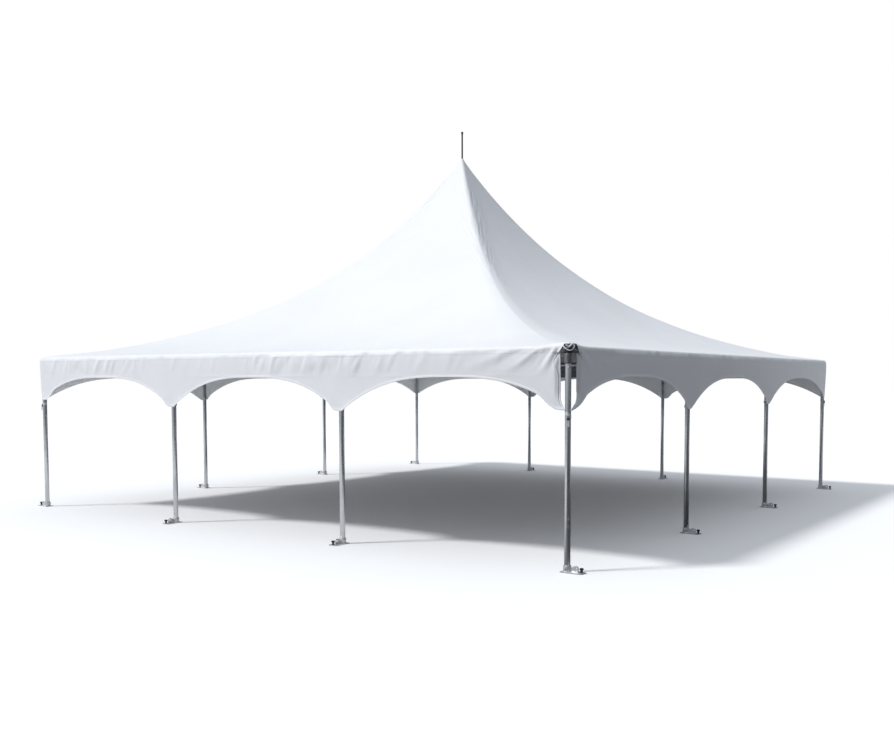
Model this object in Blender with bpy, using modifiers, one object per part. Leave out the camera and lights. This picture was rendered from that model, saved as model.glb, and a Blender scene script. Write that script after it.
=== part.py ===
"""High-peak frame marquee on a square plan, open on all four sides.

Twelve round legs stand on anchor plates, three bays to a side. Each side's eave rail carries two
sockets for its middle legs, and a corner fitting joins two rails, a leg and a bracing cable. Four
cables cross under the roof and hold up a short mast, which lifts the cloth to its peak.
The origin is on the floor under the peak, +Z is up and -Y is the front.
"""
from math import atan2, cos, exp, hypot, pi, radians, sin, sqrt

import bmesh
import bpy
from mathutils import Matrix, Vector

# Plan and heights
SIDE = 9.144
BAYS = 3
EAVE_Z = 2.286
PEAK_Z = 5.54
ROOF_CURVE = 2.35
PANEL_SAG = 0.10
GAP = 0.0003
ROUND = 16
THIN_R = 0.018

# Tubes and fittings
TUBE_R = 0.03175
TUBE_WALL = 0.0042
SLEEVE_R = 0.0365
SLEEVE_HALF = 0.11
SOCKET_DROP = 0.14
ARM_LENGTH = 0.17
HUB_R = 0.040
RAIL_END = 0.05
LEG_STOP = 0.038

# Anchor plates under the legs
PLATE_T = 0.008
PLATE_WIDTH = 0.12
PLATE_BACK = 0.060
PLATE_FRONT = 0.195
COLLAR_R = 0.041
COLLAR_HEIGHT = 0.060
EAR_REACH = 0.105
EAR_HEIGHT = 0.048
EAR_R = 0.026
EAR_T = 0.010
EAR_HOLE_R = 0.009
STAKE_REACH = 0.165
STAKE_HOLE_R = 0.0135

# Bracing cables and their lugs
LUG_T = 0.010
LUG_R = 0.016
LUG_REACH = 0.105
LUG_DROP = 0.045
PIN_R = 0.006
CHEEK_T = 0.005
FORK_HALF = 0.012
FORK_BACK = 0.020
FORK_END = 0.036
CABLE_R = 0.005
SCREW_R = 0.012
SCREW_LENGTH = 0.17

# Mast
MAST_R = 0.038
MAST_WALL = 0.004
MAST_CUP_R = 0.048
MAST_CUP_HEIGHT = 0.12
MAST_CUP_FLOOR = 0.02
MAST_PIN_Z = 2.06
MAST_PIN_REACH = 0.085
MAST_TOP_Z = 5.18
SPIGOT_DEPTH = 0.10
HEAD_RIM = 0.012
ROD_R = 0.0125
ROD_TOP_Z = 5.96
KNOB_R = 0.019

# Cloth
CLOTH_T = 0.006
ROOF_RINGS = 10
RING_POWER = 1.6
PEAK_HOLE = 0.060
CORNER_SLIT = 0.085
FLAP_REACH = 0.045
FLAP_DROP = 0.004
HEM_DROP = 0.030
FOLD_STEPS = 4
BOOT_TOP = 0.020
VALANCE_ARCH_Z = 1.947
VALANCE_TIP_Z = 1.575
CORNER_TIP_RISE = 0.045
ARCH_POWER = 2.4
ARCH_STEPS = 16
TIP_HALF = 0.040
TIP_CURL = 0.16
CURL_STEPS = 5

HALF = SIDE / 2
BAY = SIDE / BAYS
FOLD_R = SLEEVE_R + (GAP + CLOTH_T) / cos(pi / ROUND)
RAIL_Z = EAVE_Z - FOLD_R
LEG_TOP_Z = RAIL_Z - LEG_STOP
LEG_FOOT_Z = PLATE_T + GAP
BORE_R = TUBE_R + GAP
HUB_TOP = FOLD_R - FLAP_DROP - CLOTH_T - 2 * GAP
CORNERS = {
    "back_right": (1, 1, 0),
    "back_left": (-1, 1, 1),
    "front_left": (-1, -1, 2),
    "front_right": (1, -1, 3),
}
SIDES = {"front": 0, "right": 1, "back": 2, "left": 3}


def clear_scene():
    for item in list(bpy.data.objects):
        bpy.data.objects.remove(item, do_unlink=True)


def make_collection(name):
    group = bpy.data.collections.new(name)
    bpy.context.scene.collection.children.link(group)
    return group


def make_material(name, colour, roughness, metallic):
    finish = bpy.data.materials.new(name)
    finish.use_nodes = True
    shader = finish.node_tree.nodes["Principled BSDF"]
    shader.inputs["Base Color"].default_value = (*colour, 1.0)
    shader.inputs["Roughness"].default_value = roughness
    shader.inputs["Metallic"].default_value = metallic
    return finish


def add_object(name, mesh, finish, turn=0.0, place=(0.0, 0.0, 0.0)):
    """One sub-part, turned about +Z and placed; its mesh may be shared."""
    if not mesh.materials:
        mesh.materials.append(finish)
    item = bpy.data.objects.new(name, mesh)
    item.location = place
    item.rotation_euler = (0.0, 0.0, turn)
    tent.objects.link(item)
    return item


def mesh_from(bm):
    mesh = bpy.data.meshes.new("shape")
    bm.to_mesh(mesh)
    bm.free()
    return mesh


def box(low, high):
    bm = bmesh.new()
    size = [b - a for a, b in zip(low, high)]
    middle = [(a + b) / 2 for a, b in zip(low, high)]
    matrix = Matrix.Translation(middle) @ Matrix.Diagonal((*size, 1.0))
    bmesh.ops.create_cube(bm, size=1.0, matrix=matrix)
    return mesh_from(bm)


def rod(start, end, radius):
    """A solid round bar between two points, with fewer flat sides where it is thin."""
    a, b = Vector(start), Vector(end)
    axis = b - a
    sides = ROUND if radius > THIN_R else ROUND // 2
    turn = Vector((0, 0, 1)).rotation_difference(axis).to_matrix().to_4x4()
    bm = bmesh.new()
    bmesh.ops.create_cone(
        bm, cap_ends=True, segments=sides, radius1=radius, radius2=radius, depth=axis.length,
        matrix=Matrix.Translation((a + b) / 2) @ turn)
    return mesh_from(bm)


def evaluated_mesh(item):
    bpy.context.view_layer.update()
    graph = bpy.context.evaluated_depsgraph_get()
    return bpy.data.meshes.new_from_object(item.evaluated_get(graph))


def combine(solids, cuts=()):
    """The union of the solids, less the cuts, as one mesh."""
    helpers = []
    for mesh in [*solids, *cuts]:
        helper = bpy.data.objects.new("helper", mesh)
        helper.hide_render = True
        helper.display_type = "WIRE"
        cutters.objects.link(helper)
        helpers.append(helper)
    base = helpers[0]
    for index, helper in enumerate(helpers[1:], start=1):
        join = base.modifiers.new("join", "BOOLEAN")
        join.operation = "UNION" if index < len(solids) else "DIFFERENCE"
        join.object = helper
    mesh = evaluated_mesh(base)
    for helper in helpers:
        bpy.data.objects.remove(helper)
    return mesh


def turned(profile):
    """A mesh turned about +Z from a closed profile that runs down its outer side."""
    bm = bmesh.new()
    points = [bm.verts.new((radius, 0.0, height)) for radius, height in profile]
    for a, b in zip(points, points[1:]):
        bm.edges.new((a, b))
    if profile[0][0] > 0.0:
        bm.edges.new((points[-1], points[0]))
    guide = bpy.data.objects.new("guide", mesh_from(bm))
    cutters.objects.link(guide)
    screw = guide.modifiers.new("turn", "SCREW")
    screw.steps = screw.render_steps = ROUND
    screw.use_merge_vertices = True
    screw.merge_threshold = 0.00001
    mesh = evaluated_mesh(guide)
    bpy.data.objects.remove(guide)
    return mesh


def hip_height(share):
    """Height of the cloth at a share of the way from the peak to the eave."""
    end = exp(-ROOF_CURVE)
    return EAVE_Z + (PEAK_Z - EAVE_Z) * (exp(-ROOF_CURVE * share) - end) / (1 - end)


def roof_height(x, y):
    """Four panels that meet at hips and hang a little between them."""
    far, near = max(abs(x), abs(y)), min(abs(x), abs(y))
    share = far / HALF
    sag = PANEL_SAG * 6.75 * share ** 2 * (1 - share) * (1 - (near / far) ** 2)
    return hip_height(share) - sag


def ring_place(step):
    return PEAK_HOLE + (HALF - PEAK_HOLE) * (step / ROOF_RINGS) ** RING_POWER


def roof_places():
    """Grid lines of the roof on one side of the peak, closer together near it."""
    places = [ring_place(step) for step in range(ROOF_RINGS)]
    return [*places, HALF - CORNER_SLIT, HALF]


def make_roof(finish):
    """The canopy: a curved grid with a hole for the mast, folded over the eave rails."""
    half = roof_places()
    lines = [-place for place in reversed(half)] + half
    count = len(lines)
    bm = bmesh.new()
    bmesh.ops.create_grid(bm, x_segments=count - 1, y_segments=count - 1, size=(count - 1) / 2)
    for vert in bm.verts:
        column = round(vert.co.x + (count - 1) / 2)
        row = round(vert.co.y + (count - 1) / 2)
        x, y = lines[column], lines[row]
        vert.co = (x, y, roof_height(x, y))
    bm.faces.ensure_lookup_table()
    hole = min(bm.faces, key=lambda face: face.calc_center_median().xy.length)
    bmesh.ops.delete(bm, geom=[hole], context="FACES_ONLY")
    hips = [vert for vert in bm.verts if abs(abs(vert.co.x) - abs(vert.co.y)) < GAP]
    bmesh.ops.connect_verts(bm, verts=hips)

    edge = [side for side in bm.edges if side.is_boundary and side.verts[0].co.xy.length > HALF / 2]
    for step in range(1, FOLD_STEPS + 1):
        turn = pi / 2 * step / FOLD_STEPS
        if step > 1:
            edge = [side for side in edge if max(map(along_edge, side.verts)) < HALF - CORNER_SLIT / 2]
        edge = extrude_edge(bm, edge)
        for vert in {vert for side in edge for vert in side.verts}:
            place_fold(vert, turn)
    edge = [side for side in edge if max(map(along_edge, side.verts)) < HALF - CORNER_SLIT / 2]
    edge = extrude_edge(bm, edge)
    for vert in {vert for side in edge for vert in side.verts}:
        vert.co.z = RAIL_Z - HEM_DROP

    bmesh.ops.recalc_face_normals(bm, faces=bm.faces)
    item = add_object("canopy_roof", mesh_from(bm), finish)
    thickness = item.modifiers.new("cloth", "SOLIDIFY")
    thickness.thickness = CLOTH_T
    thickness.offset = -1.0
    thickness.use_even_offset = True
    return item


def along_edge(vert):
    """How far a point lies along its side of the eave, from the middle of that side."""
    return min(abs(vert.co.x), abs(vert.co.y))


def extrude_edge(bm, edge):
    made = bmesh.ops.extrude_edge_only(bm, edges=edge)["geom"]
    return [part for part in made if isinstance(part, bmesh.types.BMEdge) and part.is_boundary
            and all(vert in made for vert in part.verts)]


def place_fold(vert, turn):
    """Rolls an eave point round its rail, or lays it flat over a corner fitting."""
    x, y = vert.co.xy
    reach, drop = FOLD_R * sin(turn), FOLD_R * (1 - cos(turn))
    at_corner = along_edge(vert) > HALF - CORNER_SLIT / 2
    if at_corner:
        reach, drop = FLAP_REACH, FLAP_DROP
    if abs(x) > HALF - CORNER_SLIT / 2:
        x = (HALF + reach) * (1 if x > 0 else -1)
    if abs(y) > HALF - CORNER_SLIT / 2:
        y = (HALF + reach) * (1 if y > 0 else -1)
    vert.co = (x, y, EAVE_Z - drop)


def make_boot(finish):
    """The four-sided cloth boot that closes the hole round the rod."""
    bm = bmesh.new()
    foot = ring_place(1)
    foot_z = hip_height(foot / HALF) + 2 * GAP
    drawn = bmesh.ops.create_cone(
        bm, cap_ends=False, segments=4, radius1=foot * sqrt(2), radius2=BOOT_TOP * sqrt(2),
        depth=PEAK_Z - foot_z)
    bmesh.ops.rotate(bm, verts=drawn["verts"], matrix=Matrix.Rotation(pi / 4, 3, "Z"))
    bmesh.ops.translate(bm, verts=drawn["verts"], vec=(0, 0, (PEAK_Z + foot_z) / 2))
    item = add_object("peak_boot", mesh_from(bm), finish)
    thickness = item.modifiers.new("cloth", "SOLIDIFY")
    thickness.thickness = CLOTH_T / 2
    thickness.offset = 1.0
    thickness.use_even_offset = True


def tip_height(leg):
    """Lowest point of the valance at one of the legs of a side, counted from the left."""
    return VALANCE_TIP_Z + (CORNER_TIP_RISE if leg in (0, BAYS) else 0.0)


def right_end(bay):
    """The right edge of a bay's valance, upwards: it curls in at a corner and is plain at a middle leg."""
    top = RAIL_Z - HEM_DROP - GAP
    tip = tip_height(bay + 1)
    if bay < BAYS - 1:
        edge = -HALF + (bay + 1) * BAY - GAP / 2
        return [(edge, tip), (edge, top)]
    edge = HALF - CORNER_SLIT
    curl = []
    for step in range(1, CURL_STEPS + 1):
        turn = pi / 2 * step / CURL_STEPS
        curl.append((edge + (CORNER_SLIT - TIP_HALF) * (1 - sin(turn)), tip + TIP_CURL * (1 - cos(turn))))
    return [*curl, (edge, top)]


def valance_outline(bay):
    """Outline of one bay's valance, seen from outside: an arch below and a straight hem on top."""
    left = -HALF + bay * BAY + TIP_HALF
    right = left + BAY - 2 * TIP_HALF
    points = []
    for step in range(ARCH_STEPS + 1):
        share = 2 * step / ARCH_STEPS - 1
        tip = tip_height(bay if share < 0 else bay + 1)
        x = (left + right) / 2 + share * (right - left) / 2
        points.append((x, VALANCE_ARCH_Z - (VALANCE_ARCH_Z - tip) * abs(share) ** ARCH_POWER))
    left_end = [(-x, z) for x, z in reversed(right_end(BAYS - 1 - bay))]
    return [*points, *right_end(bay), *left_end]


def make_valance(name, outline, turn, finish):
    flat = bpy.data.curves.new("outline", "CURVE")
    flat.dimensions = "2D"
    flat.fill_mode = "BOTH"
    flat.extrude = CLOTH_T / 2
    spline = flat.splines.new("POLY")
    spline.points.add(len(outline) - 1)
    for point, (x, z) in zip(spline.points, outline):
        point.co = (x, z, 0.0, 1.0)
    spline.use_cyclic_u = True
    flat.materials.append(finish)
    item = bpy.data.objects.new(name, flat)
    place = Vector((0.0, -HALF - FOLD_R + CLOTH_T / 2, 0.0))
    item.location = Matrix.Rotation(turn, 3, "Z") @ place
    item.rotation_euler = (pi / 2, 0.0, turn)
    tent.objects.link(item)


def leg_mesh():
    inner = TUBE_R - TUBE_WALL
    return turned([
        (TUBE_R, LEG_TOP_Z),
        (TUBE_R, LEG_FOOT_Z),
        (inner, LEG_FOOT_Z),
        (inner, LEG_TOP_Z),
    ])


def foot_mesh():
    """An anchor plate with a collar for the leg, a drilled ear and a stake hole, outward along +X."""
    side = PLATE_WIDTH / 2
    plate = box((-PLATE_BACK, -side, 0.0), (PLATE_FRONT, side, PLATE_T))
    collar = rod((0, 0, PLATE_T / 2), (0, 0, PLATE_T + COLLAR_HEIGHT), COLLAR_R)
    web = box((COLLAR_R * 0.9, -EAR_T / 2, PLATE_T / 2), (EAR_REACH + EAR_R * 0.9, EAR_T / 2, EAR_HEIGHT))
    ear = rod((EAR_REACH, -EAR_T / 2, EAR_HEIGHT), (EAR_REACH, EAR_T / 2, EAR_HEIGHT), EAR_R)
    bore = rod((0, 0, PLATE_T), (0, 0, 2 * COLLAR_HEIGHT), BORE_R)
    eye = rod((EAR_REACH, -EAR_T, EAR_HEIGHT), (EAR_REACH, EAR_T, EAR_HEIGHT), EAR_HOLE_R)
    stake = rod((STAKE_REACH, 0, -PLATE_T), (STAKE_REACH, 0, 2 * PLATE_T), STAKE_HOLE_R)
    return combine([plate, collar, web, ear], [bore, eye, stake])


def rail_mesh():
    """One side's eave tube with a sleeve and a leg socket at each middle leg, along X."""
    end = HALF - RAIL_END
    middles = [-HALF + BAY * bay for bay in range(1, BAYS)]
    solids = [rod((-end, 0, 0), (end, 0, 0), TUBE_R)]
    solids += [rod((x - SLEEVE_HALF, 0, 0), (x + SLEEVE_HALF, 0, 0), SLEEVE_R) for x in middles]
    solids += [rod((x, 0, -SOCKET_DROP), (x, 0, -TUBE_WALL), SLEEVE_R) for x in middles]
    cuts = [rod((-HALF, 0, 0), (HALF, 0, 0), TUBE_R - TUBE_WALL)]
    cuts += [rod((x, 0, -2 * SOCKET_DROP), (x, 0, GAP - LEG_STOP), BORE_R) for x in middles]
    return combine(solids, cuts)


def lug(reach, drop):
    """A drilled lug along +X from an axis: its bar, its round end and the cutter for its pin."""
    bar = box((SLEEVE_R / 2, -LUG_T / 2, drop - LUG_R), (reach, LUG_T / 2, drop + LUG_R))
    end = rod((reach, -LUG_T / 2, drop), (reach, LUG_T / 2, drop), LUG_R)
    hole = rod((reach, -LUG_T, drop), (reach, LUG_T, drop), PIN_R + GAP)
    return bar, end, hole


def turn_mesh(mesh, angle):
    mesh.transform(Matrix.Rotation(angle, 4, "Z"))
    return mesh


def corner_mesh():
    """Three sleeves and a cable lug, with the rails leaving along -X and -Y."""
    hub = rod((0, 0, -SOCKET_DROP), (0, 0, HUB_TOP), HUB_R)
    arm_x = rod((-ARM_LENGTH, 0, 0), (-HUB_R / 2, 0, 0), SLEEVE_R)
    arm_y = rod((0, -ARM_LENGTH, 0), (0, -HUB_R / 2, 0), SLEEVE_R)
    bar, end, hole = [turn_mesh(mesh, radians(225)) for mesh in lug(LUG_REACH, -LUG_DROP)]
    bore_x = rod((-2 * ARM_LENGTH, 0, 0), (GAP - RAIL_END, 0, 0), BORE_R)
    bore_y = rod((0, -2 * ARM_LENGTH, 0), (0, GAP - RAIL_END, 0), BORE_R)
    bore_z = rod((0, 0, -2 * SOCKET_DROP), (0, 0, GAP - LEG_STOP), BORE_R)
    return combine([hub, arm_x, arm_y, bar, end], [bore_x, bore_y, bore_z, hole])


def mast_foot_mesh():
    """The cup that the mast stands in, with a lug to each cable; its pins lie at z = 0."""
    base = -MAST_CUP_HEIGHT / 2
    cup = rod((0, 0, base), (0, 0, -base), MAST_CUP_R)
    solids, holes = [cup], []
    for quarter in range(4):
        bar, end, hole = [turn_mesh(mesh, radians(45 + 90 * quarter)) for mesh in lug(MAST_PIN_REACH, 0.0)]
        solids += [bar, end]
        holes.append(hole)
    socket = rod((0, 0, base + MAST_CUP_FLOOR), (0, 0, MAST_CUP_HEIGHT), MAST_R + GAP)
    return combine(solids, [socket, *holes])


def cable_mesh(length):
    """A cable along +X between two pins, with a fork at each end and a tightening screw at the first."""
    cheek = LUG_T / 2 + GAP
    outer = cheek + CHEEK_T
    solids = [rod((FORK_BACK, 0, 0), (length - FORK_BACK, 0, 0), CABLE_R)]
    solids.append(rod((FORK_END - GAP, 0, 0), (FORK_END + SCREW_LENGTH, 0, 0), SCREW_R))
    for pin, inward in ((0.0, 1), (length, -1)):
        back, block = pin + inward * FORK_BACK, pin + inward * FORK_END
        tip = pin - inward * FORK_HALF
        span = sorted((back, block))
        solids.append(box((span[0], -outer, -FORK_HALF), (span[1], outer, FORK_HALF)))
        jaw = sorted((tip, back + inward * CHEEK_T))
        for near, far in ((cheek, outer), (-outer, -cheek)):
            solids.append(box((jaw[0], near, -FORK_HALF + GAP), (jaw[1], far, FORK_HALF - GAP)))
        solids.append(rod((pin, -outer - CHEEK_T, 0), (pin, outer + CHEEK_T, 0), PIN_R))
    return combine(solids)


def mast_mesh(foot_z):
    inner = MAST_R - MAST_WALL
    return turned([(MAST_R, MAST_TOP_Z), (MAST_R, foot_z), (inner, foot_z), (inner, MAST_TOP_Z)])


def head_mesh():
    """A cone under the cloth on a spigot in the mast, with the rod and its knob on top."""
    rim = ring_place(1)
    slope = (roof_height(PEAK_HOLE, 0.0) - roof_height(rim, 0.0)) / (rim - PEAK_HOLE)
    under = CLOTH_T * sqrt(1 + slope ** 2) + 3 * GAP
    rim_z = roof_height(rim, 0.0) - under
    neck_z = roof_height(PEAK_HOLE, 0.0) - under
    spigot_r = MAST_R - MAST_WALL - GAP
    knob = [
        (KNOB_R * sin(pi * step / 6), ROD_TOP_Z - KNOB_R - KNOB_R * -cos(pi * step / 6))
        for step in range(0, 6)]
    return turned([
        *knob,
        (ROD_R, ROD_TOP_Z - 2 * KNOB_R),
        (ROD_R, neck_z + HEAD_RIM),
        (PEAK_HOLE - HEAD_RIM, neck_z + HEAD_RIM),
        (PEAK_HOLE, neck_z),
        (rim, rim_z),
        (rim, rim_z - HEAD_RIM),
        (spigot_r + HEAD_RIM, MAST_TOP_Z + GAP),
        (spigot_r, MAST_TOP_Z + GAP),
        (spigot_r, MAST_TOP_Z - SPIGOT_DEPTH),
        (0.0, MAST_TOP_Z - SPIGOT_DEPTH),
    ])


def make_legs(tube, zinc):
    """A leg and its anchor plate at every corner and at the bay lines of each side."""
    leg, foot = leg_mesh(), foot_mesh()
    for name, (x, y, _) in CORNERS.items():
        add_object(f"leg_{name}", leg, tube, place=(x * HALF, y * HALF, 0.0))
        outward = 0.0 if x > 0 else pi
        add_object(f"foot_{name}", foot, zinc, turn=outward, place=(x * HALF, y * HALF, 0.0))
    for side, quarter in SIDES.items():
        spin = quarter * pi / 2
        for number in range(1, BAYS):
            place = Matrix.Rotation(spin, 3, "Z") @ Vector((-HALF + number * BAY, -HALF, 0.0))
            add_object(f"leg_{side}_{number}", leg, tube, place=place)
            add_object(f"foot_{side}_{number}", foot, zinc, turn=spin - pi / 2, place=place)


def make_eave(tube, zinc):
    rail, corner = rail_mesh(), corner_mesh()
    for side, quarter in SIDES.items():
        spin = quarter * pi / 2
        place = Matrix.Rotation(spin, 3, "Z") @ Vector((0.0, -HALF, RAIL_Z))
        add_object(f"rail_{side}", rail, tube, turn=spin, place=place)
    for name, (x, y, quarter) in CORNERS.items():
        place = (x * HALF, y * HALF, RAIL_Z)
        add_object(f"corner_{name}", corner, zinc, turn=quarter * pi / 2, place=place)


def make_mast(tube, zinc, steel):
    add_object("mast_foot", mast_foot_mesh(), zinc, place=(0.0, 0.0, MAST_PIN_Z))
    add_object("mast", mast_mesh(MAST_PIN_Z - MAST_CUP_HEIGHT / 2 + MAST_CUP_FLOOR + GAP), tube)
    add_object("mast_head", head_mesh(), steel)
    far = HALF * sqrt(2) - LUG_REACH
    run, rise = far - MAST_PIN_REACH, MAST_PIN_Z - (RAIL_Z - LUG_DROP)
    cable = cable_mesh(hypot(run, rise))
    for name, (x, y, _) in CORNERS.items():
        item = add_object(f"cable_{name}", cable, steel)
        item.location = (x * far / sqrt(2), y * far / sqrt(2), RAIL_Z - LUG_DROP)
        item.rotation_euler = (0.0, -atan2(rise, run), atan2(-y, -x))


clear_scene()
tent = make_collection("marquee_tent")
cutters = make_collection("cutters")
white_cloth = make_material("white_cloth", (0.86, 0.88, 0.90), 0.45, 0.0)
bright_tube = make_material("bright_tube", (0.62, 0.63, 0.64), 0.35, 0.9)
zinc_casting = make_material("zinc_casting", (0.55, 0.56, 0.56), 0.45, 0.8)
dark_steel = make_material("dark_steel", (0.20, 0.21, 0.22), 0.40, 0.9)
make_legs(bright_tube, zinc_casting)
make_eave(bright_tube, zinc_casting)
make_mast(bright_tube, zinc_casting, dark_steel)
make_roof(white_cloth)
make_boot(white_cloth)
for side_name, quarter_turns in SIDES.items():
    for bay_index in range(BAYS):
        bay_name = f"valance_{side_name}_{bay_index + 1}"
        make_valance(bay_name, valance_outline(bay_index), quarter_turns * pi / 2, white_cloth)
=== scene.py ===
"""The looks of a square high-peak marquee: cloth, tubes, fittings, anchor plates, cables and ties.

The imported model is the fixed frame, and every piece here is placed by it, in metres, with +Z up.
The front faces -Y, and the front right corner faces the camera.
"""

from functools import lru_cache
from math import atan2, cos, exp, floor, hypot, pi, radians, sin, sqrt

import bmesh
import bpy
from bpy.props import FloatProperty, FloatVectorProperty, PointerProperty
from bpy.types import Operator, Panel, PropertyGroup
from mathutils import Matrix, Vector, noise


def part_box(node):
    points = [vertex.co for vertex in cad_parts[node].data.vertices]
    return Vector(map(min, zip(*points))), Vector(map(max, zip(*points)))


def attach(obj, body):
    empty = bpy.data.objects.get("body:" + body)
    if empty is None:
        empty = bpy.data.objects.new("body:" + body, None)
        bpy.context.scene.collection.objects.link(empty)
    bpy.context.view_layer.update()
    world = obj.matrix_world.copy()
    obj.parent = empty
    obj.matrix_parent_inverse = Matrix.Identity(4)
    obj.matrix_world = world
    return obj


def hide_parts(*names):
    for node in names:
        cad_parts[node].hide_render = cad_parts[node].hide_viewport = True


bl_info = {
    "name": "Marquee Looks",
    "version": (1, 0, 0),
    "blender": (4, 5, 0),
    "location": "3D View > Sidebar > Marquee",
    "description": "Builds the cloth, frame, fittings and studio of a square frame marquee",
    "category": "Object",
}

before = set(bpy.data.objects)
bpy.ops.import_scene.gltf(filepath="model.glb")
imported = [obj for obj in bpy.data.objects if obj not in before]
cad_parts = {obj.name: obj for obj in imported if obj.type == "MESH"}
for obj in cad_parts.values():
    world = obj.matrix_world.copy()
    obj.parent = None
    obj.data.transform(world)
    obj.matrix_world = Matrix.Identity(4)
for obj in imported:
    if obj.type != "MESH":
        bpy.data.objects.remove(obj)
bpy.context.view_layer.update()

SIDES = {"front": 0, "right": 1, "back": 2, "left": 3}
CORNERS = {
    "back_right": (1, 1, 0), "back_left": (-1, 1, 1), "front_left": (-1, -1, 2), "front_right": (1, -1, 3)}
BAYS = 3

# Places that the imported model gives.
LEG_LOW, LEG_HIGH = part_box("leg_front_right")
RAIL_LOW, RAIL_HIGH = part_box("rail_front")
VALANCE_LOW, VALANCE_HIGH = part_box("valance_front_2")
MAST_LOW, MAST_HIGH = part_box("mast")
CUP_LOW, CUP_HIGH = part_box("mast_foot")
CORNER_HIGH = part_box("corner_back_right")[1]
BOOT_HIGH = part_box("peak_boot")[1]
HEAD_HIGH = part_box("mast_head")[1]
HALF = (LEG_LOW.x + LEG_HIGH.x) / 2
BAY = 2 * HALF / BAYS
TUBE_R = (LEG_HIGH.x - LEG_LOW.x) / 2
SLEEVE_R = (RAIL_HIGH.y - RAIL_LOW.y) / 2
RAIL_Z = RAIL_HIGH.z - SLEEVE_R
FOLD_R = -VALANCE_LOW.y - HALF
EAVE_Z = RAIL_Z + FOLD_R
PEAK_Z = BOOT_HIGH.z
TIP_Z = VALANCE_LOW.z
HEM_Z = VALANCE_HIGH.z
CUP_Z = (CUP_LOW.z + CUP_HIGH.z) / 2
ALONG = (1, 0, 0)
ACROSS = (0, 1, 0)
UP = (0, 0, 1)

# Sizes of the solids, as in their source.
ROOF_SWEEP = 2.35
PANEL_SAG = 0.10
PEAK_HOLE = 0.060
TIP_HALF = 0.040
TUBE_WALL = 0.0042
SLEEVE_HALF = 0.11
SOCKET_DROP = 0.14
ARM_LENGTH = 0.17
HUB_R = 0.040
RAIL_END = 0.05
LUG_T = 0.010
LUG_R = 0.016
LUG_REACH = 0.105
LUG_DROP = 0.045
PIN_R = 0.006
CHEEK_T = 0.005
FORK_HALF = 0.012
CABLE_R = 0.005
MAST_R = 0.038
MAST_WALL = 0.004
MAST_CUP_R = 0.048
MAST_CUP_FLOOR = 0.02
MAST_PIN_REACH = 0.085
SPIGOT_DEPTH = 0.10
KNOB_R = 0.019
ROD_R = 0.0125
COLLAR_R = 0.041
COLLAR_HEIGHT = 0.060
PLATE_T = 0.008
PLATE_BACK = 0.060
PLATE_FRONT = 0.195
PLATE_HALF = 0.060
EAR_REACH = 0.105
EAR_HEIGHT = 0.048
EAR_R = 0.026
EAR_T = 0.010
EAR_HOLE_R = 0.009
STAKE_REACH = 0.165
STAKE_HOLE_R = 0.0135
GAP = 0.0003

# The arches stand a little higher and squarer than those of the frame. At the ends listed here, each given as
# a side and a way along it, they drop steeply to a foot.
ARCH_Z = 1.965
ARCH_POWER = 2.6
CORNER_ARCH_POWER = 2.9
CORNER_TIP_RISE = 0.060
FOOTED_ENDS = ((0, 1), (0, -1), (1, -1))

# Where the valance starts, where its upper band meets its scallops, and where its open ends curl and bulge.
VALANCE_TOP = HEM_Z + 0.012
CREASE_Z = 1.985
CURL_Z = 1.82
BULGE_Z = 2.12

# Where the cloth leaves the eave tube, and how widely it bends down from there.
LEAVE_TURN = radians(50)
WIDE_BEND_R = 0.10

# The open corner: the two ends of cloth at it, as a side and a way along it, how strongly the cloth puckers
# towards them, how far from the leg their tips hang, and how far the roof's flap reaches out and stands up.
OPEN_CORNER = "front_right"
PUCKER_SHARES = {(0, 1): 1.0, (1, -1): 0.30}
TIP_REACHES = {(0, 1): 0.014, (1, -1): -0.010}
FLAP_REACH = 0.044
CORNER_LIFT = 0.026

# How tightly the boot is drawn round the rod.
BOOT_NECK_R = 0.0165

# The counts of columns and rows in the cloth, how they crowd towards the corners, and how many sides a
# round bar has.
ROOF_COLUMNS = 96
ROOF_ROWS_COARSE = 38
ROOF_ROWS_FINE = 8
FOLD_ROWS = 7
HEM_ROWS = 4
ROOF_ROWS = ROOF_ROWS_COARSE + ROOF_ROWS_FINE + FOLD_ROWS + HEM_ROWS
CORNER_CROWDING = 1.35
RING_POWER = 1.45
VALANCE_COLUMNS = 460
VALANCE_ROWS = 26
BOOT_COLUMNS = 64
BOOT_ROWS = 22
ROUND = 40

# Heights of the legs' locking buttons, thicknesses of webbing and washers, the spare length of bolts, the
# bevel of cut tube ends, and the pitch of the weave.
BUTTON_HEIGHTS = (0.46, 0.54)
WEB_T = 0.0014
WASHER_T = 0.0015
BOLT_SLACK = 0.001
TUBE_EDGE = 0.0010
PIPE_EDGE = 0.0012
WEAVE_PITCH = 0.0035

# Where the camera stands, which way it looks, and how its picture is shifted to match the photo.
CAMERA_PLACE = (9.382, -13.098, 1.939)
CAMERA_TURN = (radians(86.54), 0.0, radians(34.27))
CAMERA_SHIFT = (-0.043, 0.0747)

# The finishes that many pieces share.
TUBE = "drawn_tube"
ZINC = "galvanised_plate"
CASTING = "galvanised_casting_painted_shade"
PLATED = "plated_bolt"
STEEL = "dark_steel"
WEBBING = "tie_webbing"
CORD = "edge_piping"
LINING = "coated_cloth_lining_painted_shade"


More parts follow.
